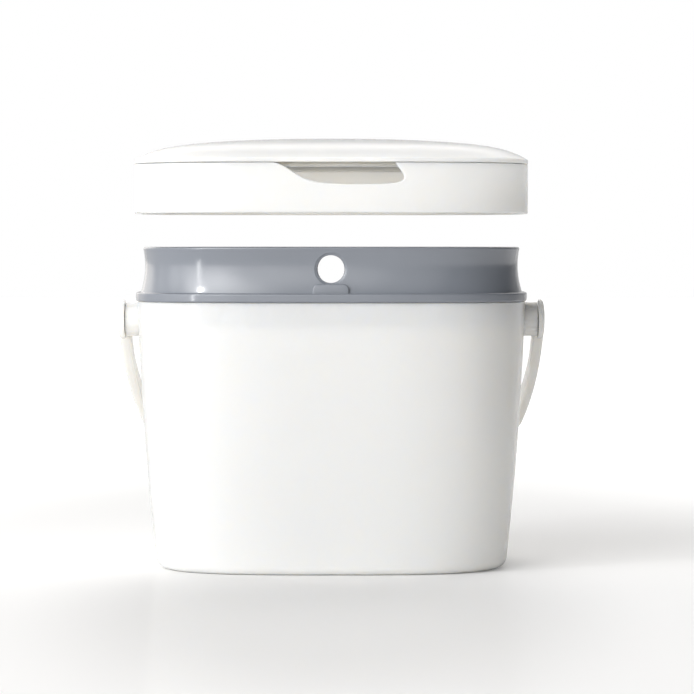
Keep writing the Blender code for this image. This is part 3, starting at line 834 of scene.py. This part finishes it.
def plate_section(plan, sizes):
    """Hollow underside, seat on the skirt, upright edge and dome."""
    foot = sizes.seam + sizes.seam_gap / 2
    shares = np.linspace(0, 1, DOME_ROWS) ** DOME_CROWDING
    near = DOME_START * sizes.edge_round
    outer = near + (plan.width / 2 - near) * shares
    hollow = sizes.flange + (plan.width / 2 - sizes.flange) * shares[::-1]
    top = [(i, sizes.seam + dome_rise(plan, sizes, i), 0) for i in outer]
    under = [(i, sizes.seam + dome_rise(plan, sizes, i) - sizes.plate, 0) for i in hollow]
    return rounded([
        *under, (sizes.flange, foot, 0), (0.0, foot, sizes.seam_round),
        (0.0, sizes.seam + sizes.edge, sizes.edge_round), *top,
    ])


def bezier(points, share):
    """Cubic Bezier: (1-t)^3 A + 3 (1-t)^2 t B + 3 (1-t) t^2 C + t^3 D."""
    rest = 1 - share
    weights = joined(rest ** 3, 3 * rest ** 2 * share, 3 * rest * share ** 2, share ** 3)
    return weights @ np.array(points)


def even_run(points, spacing):
    """The same line with points at even spacing along it."""
    lengths = running(points)
    places = np.linspace(0, lengths[-1], int(round(lengths[-1] / spacing)) + 1)
    return joined(*(np.interp(places, lengths, points[:, axis]) for axis in (0, 1)))


def notch_outline(sizes):
    """Outline of the finger notch as (run, height), from left to right."""
    share = np.linspace(0, 1, CURVE_STEPS)
    curves = np.concatenate([bezier(curve, share) for curve in NOTCH_CURVE_SHARES])
    run = sizes.notch_right - sizes.notch_width + sizes.notch_width * curves[:, 0]
    height = sizes.seam - sizes.seam_gap / 2 - sizes.notch_depth * curves[:, 1]
    return even_run(joined(run, height), NOTCH_SPACING)


def skirt_edge(sizes, line):
    """Upper edge of the skirt: seam, notch, and the foot point of each column.

    Returns runs and heights of the edge, the direction that leaves the
    material, and the run where the column starts at the lower edge. Columns
    lean over under the notch's right end, so that none crosses the notch.
    """
    top = sizes.seam - sizes.seam_gap / 2
    outline = notch_outline(sizes)
    start, end = outline[0, 0], outline[-1, 0]
    around = line.total - (end - start)
    count = int(round(around / SHELL_SPACING))
    share = np.linspace(0, 1, count + 1)[1:-1]
    fine = share - np.sin(2 * math.pi * share) / (2 * math.pi) * SEAM_CROWDING
    edge = np.concatenate([outline, joined(end + around * fine, top)])
    lap = np.array([line.total, 0.0])
    ahead = np.concatenate([edge[1:], edge[:1] + lap])
    behind = np.concatenate([edge[-1:] - lap, edge[:-1]])
    tangent = unit_rows(unit_rows(edge - behind) + unit_rows(ahead - edge))
    outward = joined(-tangent[:, 1], tangent[:, 0])
    lengths = running(edge)
    last = lengths[len(outline) - 1]
    foot = edge[:, 0] + np.interp(lengths, [last - LEAN_BEFORE, last, last + LEAN_AFTER], [0, LEAN, 0])
    if np.any(np.diff(foot) <= 0):
        raise RuntimeError("the skirt's columns cross at its lower edge")
    return edge, outward, foot, len(outline)


def skirt_part(settings):
    """Skirt wall as one closed grid round the plan.

    Each column runs up the outer face along a straight line, over a rounded
    edge, and down the inner face. The rounded edge backs off from the seam or
    from the notch's outline by the edge radius.
    """
    plan, sizes = settings.plan, settings.lid
    line = PlanLine(plan)
    edge, outward, foot, notch_count = skirt_edge(sizes, line)
    lip = np.full(len(edge), sizes.seam_round)
    lip[:notch_count] = sizes.notch_lip
    away = np.linalg.norm(edge - edge[notch_count - 1], axis=1)
    lip = np.minimum(lip, LIP_CORNER + away * LIP_GROWTH)
    quarter = QUARTER_TURNS[:, None]
    under, over = np.tile(quarter[:-1], len(edge)), np.sin(quarter)
    low = sizes.skirt_foot + sizes.skirt_round
    rim = edge - outward * lip[:, None]
    run = np.concatenate([
        np.tile(foot, (len(under), 1)), foot + (rim[:, 0] - foot) * SKIRT_CLIMB,
        rim[:, 0] + outward[:, 0] * lip * over,
    ])
    height = np.concatenate([
        low - sizes.skirt_round * np.cos(under), low + (rim[:, 1] - low) * SKIRT_CLIMB,
        rim[:, 1] + outward[:, 1] * lip * over,
    ])
    depth = np.concatenate([
        sizes.skirt_round * (1 - np.sin(under)), np.zeros((len(SKIRT_CLIMB), len(edge))),
        lip * (1 - np.cos(quarter)),
    ])
    run, height = (np.concatenate([outer, outer[::-1]]) for outer in (run, height))
    depth = np.concatenate([depth, sizes.skirt_wall - depth[::-1]])
    return grid(plan_points(plan, line.turn(run), depth, height), wrap_rows=True)


def flange_part(settings):
    """Flange under the plate's rim, which stops at both ends of the notch."""
    plan, sizes = settings.plan, settings.lid
    line = PlanLine(plan)
    outline = notch_outline(sizes)
    start, end = outline[-1, 0] + FLANGE_END, outline[0, 0] + line.total - FLANGE_END
    turn = line.turn(np.linspace(start, end, FLANGE_COLUMNS))
    top = sizes.seam - sizes.seam_gap / 2 - FLANGE_DROP
    low, root = top - sizes.flange_thickness, sizes.skirt_wall * FLANGE_ROOT
    section = rounded([
        (root, top, TINY_ROUND), (sizes.flange, top, TINY_ROUND),
        (sizes.flange, low, SMALL_ROUND), (root, low, TINY_ROUND),
    ], closed=True, steps=TINY_ARC_STEPS)
    points = plan_points(plan, turn[:, None], section[:, 0], section[:, 1])
    inset, height = section.mean(axis=0)
    ends = [plan_points(plan, turn[index], np.full(len(section), inset), height) for index in (0, -1)]
    return capped(points, ends)


def cover_section(plan, sizes):
    """Inner cover: raised middle panel, seal seat and rib."""
    edge = sizes.flange + INSIDE_FIT
    under = COVER_BOX[0].z + sizes.rib_room
    thick = COVER_BOX[1].z - under - sizes.cover_rise
    rib = edge + INSIDE_FIT + sizes.seal_width + INSIDE_FIT
    step, turn = sizes.cover_step, COVER_ROUND
    panel = [(plan.width / 2, under + sizes.cover_rise, 0)]
    panel += [(step + sizes.cover_run, under + sizes.cover_rise, 2 * turn), (step, under, 2 * turn)]
    top = [(inset, height + thick, radius) for inset, height, radius in panel[::-1]]
    return rounded([
        *panel,
        (rib + sizes.rib, under, turn / 4), (rib + sizes.rib, under - sizes.rib_depth, turn / 2),
        (rib, under - sizes.rib_depth, turn / 2), (rib, under, turn / 4),
        (edge, under, turn / 2), (edge, under + thick, turn), *top,
    ])


def seal_section(sizes):
    """Seal with a rounded lip that faces the collar."""
    start = sizes.flange + 2 * INSIDE_FIT
    end, low, high = start + sizes.seal_width, SEAL_BOX[0].z, SEAL_BOX[1].z
    return rounded([
        (start, high, TINY_ROUND), (end, high, TINY_ROUND),
        (end, low, sizes.seal_round), (start, low, sizes.seal_round),
    ], closed=True)


class COMPOSTBIN_OT_lid(bpy.types.Operator):
    """Adds the domed plate and the notched skirt of the lid."""

    bl_idname = "compostbin.lid"
    bl_label = "Lid"

    def execute(self, context):
        settings = context.scene.compost_bin
        plate = [shell(settings.plan, plate_section(settings.plan, settings.lid))]
        make_piece("lid_plate", plate, "lid", "white_plastic", ["lid_top"])
        make_piece("lid_band", [skirt_part(settings)], "lid", "white_plastic", ["lid_skirt"])
        make_piece("lid_flange", [flange_part(settings)], "lid", "white_plastic")
        return {"FINISHED"}


class COMPOSTBIN_OT_lid_inside(bpy.types.Operator):
    """Adds the inner cover and the seal of the lid."""

    bl_idname = "compostbin.lid_inside"
    bl_label = "Inside of the lid"

    def execute(self, context):
        settings = context.scene.compost_bin
        plan, sizes = settings.plan, settings.lid
        cover = [shell(plan, cover_section(plan, sizes))]
        make_piece("inner_cover", cover, "lid", "white_plastic", ["lid_cover"])
        seal = [shell(plan, seal_section(sizes), closed=True)]
        make_piece("seal", seal, "lid", "seal_rubber", ["lid_seal"])
        return {"FINISHED"}


# Bail and pivots


PIN_FIT = 0.3 * MM
PIN_DEPTH = 4 * MM
PIN_HEAD_HEIGHT = 1.0 * MM
BORE_DEPTH = 5 * MM
# Shares of the eye's thickness where its dome starts and where the pin's head sits
EYE_RIM = 0.45
EYE_SEAT = 0.6
EYE_EDGE = 0.25 * MM
EYE_TURNS = np.linspace(0, math.pi / 2, 16)[1:-2]
ARM_START = 1.5 * MM
ARM_ROWS = 70
ROOT_STEP = 1.1 * MM
ROOT_SLACK = 0.2 * MM
CORNER_ROWS = 27
GRIP_ROWS = 11


def turned(section, side, height):
    """Grid of a section of (radius, reach) turned round the pivot axis."""
    radius, reach = section[:, :1], section[:, 1:]
    return joined(side * reach, radius * np.cos(FULL_TURNS), height + radius * np.sin(FULL_TURNS))


def boss_part(settings, side):
    """Boss whose root spreads in a small hollow and sinks into the wall.

    A point of a root ring lies as far out as the bucket's wall does there,
    x = a (1 - |y/b|^p)^(1/p), plus its own share of the hollow.
    """
    plan, sizes = settings.plan, settings.bail
    radius, root, end = sizes.boss_radius, sizes.boss_root, sizes.boss_end
    bore = sizes.pin_radius + PIN_FIT
    root_radii = radius + root * (1 - np.sin(QUARTER_TURNS))
    out = root * (1 - np.cos(QUARTER_TURNS))

    def on_wall(ring_radius, proud):
        y, z = ring_radius * np.cos(FULL_TURNS), sizes.pivot + ring_radius * np.sin(FULL_TURNS)
        half_width, half_depth = half_sizes(plan, bucket_inset(settings.bucket, z))
        wall = half_width * (1 - (np.abs(y) / half_depth) ** plan.power) ** (1 / plan.power)
        return joined(side * (wall + proud), y, z)

    sunk = -settings.bucket.wall / 2
    rings = [on_wall(size, sunk) for size in (radius * NEARLY_ZERO, radius / 2, root_radii[0])]
    rings += [on_wall(ring_radius, proud) for ring_radius, proud in zip(root_radii, out)]
    section = rounded([
        (radius, end - EDGE_ROOM * sizes.boss_round, 0), (radius, end, sizes.boss_round),
        (bore, end, SMALL_ROUND), (bore, end - BORE_DEPTH, 0), (NEARLY_ZERO, end - BORE_DEPTH, 0),
    ])
    return grid(np.concatenate([np.array(rings), turned(section, side, sizes.pivot)]))


def pin_part(settings, side):
    """Headed pin, sunk into the eye."""
    sizes = settings.bail
    foot, end = sizes.boss_end - PIN_DEPTH, sizes.pin_end
    head = end - PIN_HEAD_HEIGHT
    section = rounded([
        (NEARLY_ZERO, foot, 0), (sizes.pin_radius, foot, SMALL_ROUND),
        (sizes.pin_radius, head, 0), (sizes.pin_head, head, TINY_ROUND),
        (sizes.pin_head, end, 2 * TINY_ROUND), (NEARLY_ZERO, end, 0),
    ])
    return grid(turned(section, side, sizes.pivot))


def eye_part(sizes, side):
    """Domed eye of the bail, in the bail's own frame."""
    start, end, radius = sizes.eye_start, sizes.eye_end, sizes.eye_radius
    rim, seat = start + (end - start) * EYE_RIM, start + (end - start) * EYE_SEAT
    sink, bore = sizes.pin_head + PIN_FIT, sizes.pin_radius + PIN_FIT
    dome = [(sink + (radius - sink) * math.cos(t), rim + (end - rim) * math.sin(t), 0) for t in EYE_TURNS]
    section = rounded([
        (bore, start, EYE_EDGE), (radius, start, EYE_EDGE), (radius, rim, 0), *dome,
        (sink, end, EYE_EDGE), (sink, seat, EYE_EDGE), (bore, seat, EYE_EDGE),
    ], closed=True, steps=SMALL_ARC_STEPS)
    return grid(turned(section, side, 0.0), wrap_rows=True)


def strap_line(sizes):
    """Outer line of one half of the bail: across, along, lean, thickness.

    The arm bows inward by B (s / L)^p, turns through a round corner and runs
    square across to the middle.
    """
    along = np.linspace(sizes.pin_head + ARM_START, sizes.reach, ARM_ROWS)
    share = along / sizes.reach
    across = sizes.eye_end - sizes.bow * share ** sizes.bow_power
    slope = sizes.bow * sizes.bow_power / sizes.reach * share ** (sizes.bow_power - 1)
    rooted = np.clip((along - sizes.root_start + ROOT_STEP) / (2 * ROOT_STEP), 0, 1)
    rooted = rooted ** 2 * (3 - 2 * rooted)
    eased = np.clip((along - sizes.root_start) / sizes.root_ease, 0, 1)
    thin = sizes.eye_end - sizes.eye_start - ROOT_SLACK
    thick = thin + (sizes.root + (sizes.arm - sizes.root) * eased - thin) * rooted
    arm = joined(across, along, np.arctan(slope), thick)
    lean = float(arm[-1, 2])
    share = np.linspace(0, 1, CORNER_ROWS + 1)[1:]
    turn = lean + (math.pi / 2 - lean) * share
    middle = (across[-1] - sizes.corner * math.cos(lean), along[-1] - sizes.corner * math.sin(lean))
    corner = joined(
        middle[0] + sizes.corner * np.cos(turn), middle[1] + sizes.corner * np.sin(turn),
        turn, sizes.arm + (sizes.grip - sizes.arm) * share,
    )
    inward = corner[-1, 0] * np.linspace(1, 0, GRIP_ROWS + 1)[1:]
    grip = joined(inward, corner[-1, 1], math.pi / 2, sizes.grip)
    return np.concatenate([arm, corner, grip])


def strap_part(sizes):
    """Strap of rounded section carried along both halves of the bail."""
    half = strap_line(sizes)
    other = half[-2::-1]
    sides = np.concatenate([np.ones(len(half)), -np.ones(len(other))])[:, None]
    across, along, lean, thick = np.hsplit(np.concatenate([half, other]), 4)
    edge, turn = sizes.width / 2, sizes.strap_round
    unit = rounded([
        (0.0, -edge, turn), (0.0, edge, turn), (1.0, edge, turn), (1.0, -edge, turn),
    ], closed=True, steps=STRAP_ARC_STEPS)
    inside = unit[:, 0].round() == 0
    depth = np.where(inside, unit[:, 0], thick + (unit[:, 0] - 1.0))
    inward = across - depth * np.cos(lean)
    onward = along - depth * np.sin(lean)
    points = joined(sides * inward, onward, unit[:, 1])
    ends = [np.broadcast_to(points[index].mean(axis=0), points[index].shape) for index in (0, -1)]
    return capped(points, ends)


def hung(part, sizes):
    """The part turned down by the hanging angle and set on the pivot axis."""
    points, faces = part
    sine, cosine = math.sin(sizes.hang), math.cos(sizes.hang)
    y = points[:, 1] * cosine + points[:, 2] * sine
    z = points[:, 2] * cosine - points[:, 1] * sine + sizes.pivot
    return joined(points[:, 0], y, z), faces


class COMPOSTBIN_OT_pivots(bpy.types.Operator):
    """Adds the two pivot bosses and their pins."""

    bl_idname = "compostbin.pivots"
    bl_label = "Pivots"

    def execute(self, context):
        settings = context.scene.compost_bin
        for word, side in (("left", -1), ("right", 1)):
            boss, pin = [boss_part(settings, side)], [pin_part(settings, side)]
            make_piece(f"boss_{word}", boss, "bin", "white_plastic", [f"pivot_boss_{word}"])
            make_piece(f"pin_{word}", pin, "bin", "white_plastic", [f"pivot_pin_{word}"])
        return {"FINISHED"}


class COMPOSTBIN_OT_bail(bpy.types.Operator):
    """Adds the carrying bail with its two eyes."""

    bl_idname = "compostbin.bail"
    bl_label = "Bail"

    def execute(self, context):
        sizes = context.scene.compost_bin.bail
        parts = [hung(part, sizes) for part in (strap_part(sizes), eye_part(sizes, 1), eye_part(sizes, -1))]
        replaced = ["handle", "handle_arm_left", "handle_arm_right"]
        make_piece("carrying_bail", parts, "bail", "white_plastic", replaced)
        return {"FINISHED"}


# Stage


WHITE = (1.0, 1.0, 1.0, 1.0)
CAMERA_REACH = 100.0
FLOOR_GLOSS = 0.15
FLOOR_ROUGHNESS = 0.2
# Painted shade on the floor in front of the bin. Round its middle and within its reaches the camera sees
# less lift, which stands in for the bin's soft shadow and reflection.
PAINTED_SHADE_MIDDLE = (0.0, -0.25, 0.0)
PAINTED_SHADE_REACH = (0.16, 0.45, 1.0)
FLOOR_LIFTS = (
    # height of the step, and where it starts and ends in reaches from the painted shade's middle
    (0.06, -1.0, 0.0),
    (0.15, 0.4, 1.1),
    (0.20, 1.6, 3.0),
)
LAMPS = (
    # name, place, aim, width and height in metres, watts, spread in degrees, mirrored
    ("key_strip", (-1.10, -0.95, 0.47), (-0.07, -0.08, 0.47), (0.03, 0.95), 0.35, 90.0, True),
    ("key_spark", (-1.10, -0.95, 0.93), (-0.07, -0.08, 0.17), (0.05, 0.05), 0.22, 60.0, True),
    ("lid_fill", (1.085, -0.17, 0.285), (0.10, -0.03, 0.262), (0.80, 0.06), 0.13, 9.0, False),
    ("low_fill", (0.70, -0.35, 0.035), (0.10, -0.03, 0.03), (0.50, 0.04), 0.022, 20.0, False),
    ("inner_fill", (0.0, 0.0, 0.150), (0.0, 0.001, 0.230), (0.12, 0.09), 0.06, 130.0, False),
)
PLAIN = (1.0, 1.0, 1.0)
ROOM_LOBES = (
    # azimuth and elevation in degrees, edge of the lobe, strength, its share in gloss, tint
    (-150.0, 12.0, 0.86, 1.40, 1.0, (1.04, 1.0, 0.95)),
    (-120.0, 12.0, 0.86, 0.60, 1.0, PLAIN),
    (-95.0, 12.0, 0.86, 0.70, 1.0, PLAIN),
    (-70.0, 12.0, 0.86, 1.65, 1.0, PLAIN),
    (-45.0, 12.0, 0.86, 1.86, 1.0, PLAIN),
    (-20.0, 12.0, 0.86, 1.64, 1.0, PLAIN),
    (10.0, 12.0, 0.86, 0.54, 1.0, (1.0, 0.99, 0.97)),
    (155.0, 12.0, 0.86, 2.00, 0.15, PLAIN),
    (180.0, 12.0, 0.86, 0.50, 1.0, PLAIN),
    (-40.0, 30.0, 0.86, 1.86, 1.0, PLAIN),
    (-40.0, 48.0, 0.80, 1.05, 1.0, PLAIN),
    (180.0, 48.0, 0.80, 1.76, 1.0, (1.03, 1.0, 0.96)),
)


def floor_material(colours):
    """Matt floor; the camera also sees a soft gloss, and a lift that grows far away.

    The lift is a sum of smooth steps of the distance from the middle of a painted shade in front of the
    bin. Less lift there leaves a darker patch, a painted shadow and reflection of the bin on the floor.
    """
    material = bpy.data.materials.new("studio_floor")
    material.use_nodes = True
    tree = material.node_tree
    tree.nodes.clear()
    seen = add_node(tree, "ShaderNodeLightPath").outputs["Is Camera Ray"]
    reach = add_node(tree, "ShaderNodeMapping", {
        "Vector": add_node(tree, "ShaderNodeTexCoord").outputs["Object"],
        "Location": PAINTED_SHADE_MIDDLE, "Scale": PAINTED_SHADE_REACH,
    }, vector_type="TEXTURE")
    far = add_node(tree, "ShaderNodeVectorMath", {0: reach.outputs["Vector"]}, operation="LENGTH")
    total = 0.0
    for height, start, end in FLOOR_LIFTS:
        step = add_node(tree, "ShaderNodeMapRange", {
            "Value": far.outputs["Value"], "From Min": start, "From Max": end, "To Max": height,
        }, interpolation_type="SMOOTHSTEP")
        total = math_node(tree, "ADD", total, step.outputs["Result"])
    surface = add_node(tree, "ShaderNodeMixShader", {
        0: math_node(tree, "MULTIPLY", seen, FLOOR_GLOSS),
        1: add_node(tree, "ShaderNodeBsdfDiffuse", {"Color": (*colours.floor, 1.0)}).outputs[0],
        2: add_node(tree, "ShaderNodeBsdfGlossy", {"Roughness": FLOOR_ROUGHNESS}).outputs[0],
    })
    # Emission that only the camera sees. It is smaller round the painted shade in front of the bin.
    lift = add_node(tree, "ShaderNodeEmission", {
        "Color": WHITE, "Strength": math_node(tree, "MULTIPLY", seen, total),
    })
    both = add_node(tree, "ShaderNodeAddShader", {0: surface.outputs[0], 1: lift.outputs[0]})
    add_node(tree, "ShaderNodeOutputMaterial", {"Surface": both.outputs[0]})
    return material


def make_floor(settings):
    """A wide flat floor just under the bin."""
    reach = settings.stage.floor_reach
    corners = [(-reach, -reach, 0.0), (reach, -reach, 0.0), (reach, reach, 0.0), (-reach, reach, 0.0)]
    data = bpy.data.meshes.new("floor")
    data.from_pydata(corners, [], [(0, 1, 2, 3)])
    data.materials.append(floor_material(settings.colours))
    floor = bpy.data.objects.new("floor", data)
    bpy.context.scene.collection.objects.link(floor)


def lobe(tree, ray, glossy, azimuth, elevation, edge, strength, mirrored, tint):
    """Colour of a soft round light: a smooth step of the cosine to its direction.

    Glossy rays get only its mirrored share, 1 + (share - 1) for them.
    """
    turn, rise = math.radians(azimuth), math.radians(elevation)
    direction = (math.sin(turn) * math.cos(rise), -math.cos(turn) * math.cos(rise), math.sin(rise))
    dot = add_node(tree, "ShaderNodeVectorMath", {0: ray, 1: direction}, operation="DOT_PRODUCT")
    step = add_node(tree, "ShaderNodeMapRange", {
        "Value": dot.outputs["Value"], "From Min": edge, "From Max": 1.0,
    }, interpolation_type="SMOOTHSTEP")
    level = step.outputs["Result"]
    if mirrored != 1.0:
        share = math_node(tree, "ADD", math_node(tree, "MULTIPLY", glossy, mirrored - 1.0), 1.0)
        level = math_node(tree, "MULTIPLY", level, share)
    light = add_node(tree, "ShaderNodeVectorMath", {
        0: [strength * part for part in tint], "Scale": level,
    }, operation="SCALE")
    return light.outputs[0]


def make_world():
    """Soft studio room: a broad key on the left, light from behind, a white backdrop.

    Gloss shows only a small share of the light behind on the right, so that
    the object's outline stays crisp there against the white.
    """
    world = bpy.data.worlds.new("studio_room")
    bpy.context.scene.world = world
    world.use_nodes = True
    tree = world.node_tree
    tree.nodes.clear()
    ray = add_node(tree, "ShaderNodeTexCoord").outputs["Generated"]
    path = add_node(tree, "ShaderNodeLightPath").outputs
    lights = [lobe(tree, ray, path["Is Glossy Ray"], *row) for row in ROOM_LOBES]
    level = lights[0]
    for light in lights[1:]:
        level = add_node(tree, "ShaderNodeVectorMath", {0: level, 1: light}, operation="ADD").outputs[0]
    mix = add_node(tree, "ShaderNodeMixShader", {
        0: path["Is Camera Ray"],
        1: add_node(tree, "ShaderNodeBackground", {"Color": level}).outputs[0],
        2: add_node(tree, "ShaderNodeBackground", {"Color": WHITE}).outputs[0],
    })
    add_node(tree, "ShaderNodeOutputWorld", {"Surface": mix.outputs[0]})


def add_lamp(name, place, aim, size, power, spread, mirrored):
    """A soft rectangular lamp that faces a point and that the camera doesn't see.

    Gloss shows only a mirrored one.
    """
    data = bpy.data.lights.new(name, "AREA")
    data.shape = "RECTANGLE"
    data.size, data.size_y = size
    data.energy = power
    data.spread = math.radians(spread)
    lamp = bpy.data.objects.new(name, data)
    stand(lamp, Vector(place), Vector(aim))
    lamp.visible_camera = False
    lamp.visible_glossy = mirrored


def stand(item, place, aim):
    """Links a lamp or a camera, at a place and facing a point."""
    item.location = place
    item.rotation_euler = (aim - place).to_track_quat("-Z", "Y").to_euler()
    bpy.context.scene.collection.objects.link(item)


def make_camera(stage):
    """Long lens in front, a little above the bin's middle."""
    data = bpy.data.cameras.new("camera")
    data.sensor_width, data.lens = stage.sensor, stage.lens
    data.clip_end = CAMERA_REACH
    camera = bpy.data.objects.new("camera", data)
    place = Vector((stage.camera_side, -stage.camera_back, stage.camera_height))
    stand(camera, place, Vector((stage.camera_side, 0.0, stage.aim_height)))
    bpy.context.scene.camera = camera


class COMPOSTBIN_OT_stage(bpy.types.Operator):
    """Adds the camera, the floor and the studio light."""

    bl_idname = "compostbin.stage"
    bl_label = "Stage"

    def execute(self, context):
        settings = context.scene.compost_bin
        context.scene.view_settings.view_transform = "Standard"
        make_camera(settings.stage)
        make_floor(settings)
        make_world()
        for row in LAMPS:
            add_lamp(*row)
        return {"FINISHED"}


OPERATORS = (
    COMPOSTBIN_OT_stage,
    COMPOSTBIN_OT_bucket,
    COMPOSTBIN_OT_ring,
    COMPOSTBIN_OT_lid,
    COMPOSTBIN_OT_lid_inside,
    COMPOSTBIN_OT_pivots,
    COMPOSTBIN_OT_bail,
)


class COMPOSTBIN_PT_panel(bpy.types.Panel):
    """Lists the steps that build the bin."""

    bl_idname = "COMPOSTBIN_PT_panel"
    bl_label = "Compost bin"
    bl_space_type = "VIEW_3D"
    bl_region_type = "UI"
    bl_category = "Compost bin"

    def draw(self, context):
        for operator in OPERATORS:
            self.layout.operator(operator.bl_idname, text=operator.bl_label)


CLASSES = (
    PlanSizes, BucketSizes, RingSizes, LidSizes, BailSizes, FinishColours, StageSizes,
    CompostBinSettings, *OPERATORS, COMPOSTBIN_PT_panel,
)


def register():
    """Registers the classes and the settings."""
    for item in CLASSES:
        bpy.utils.register_class(item)
    bpy.types.Scene.compost_bin = PointerProperty(type=CompostBinSettings)


def unregister():
    """Removes the settings and the classes."""
    del bpy.types.Scene.compost_bin
    for item in reversed(CLASSES):
        bpy.utils.unregister_class(item)


def main():
    register()
    bpy.ops.compostbin.stage()
    bpy.ops.compostbin.bucket()
    bpy.ops.compostbin.ring()
    bpy.ops.compostbin.lid()
    bpy.ops.compostbin.lid_inside()
    bpy.ops.compostbin.pivots()
    bpy.ops.compostbin.bail()


if __name__ == "__main__":
    main()
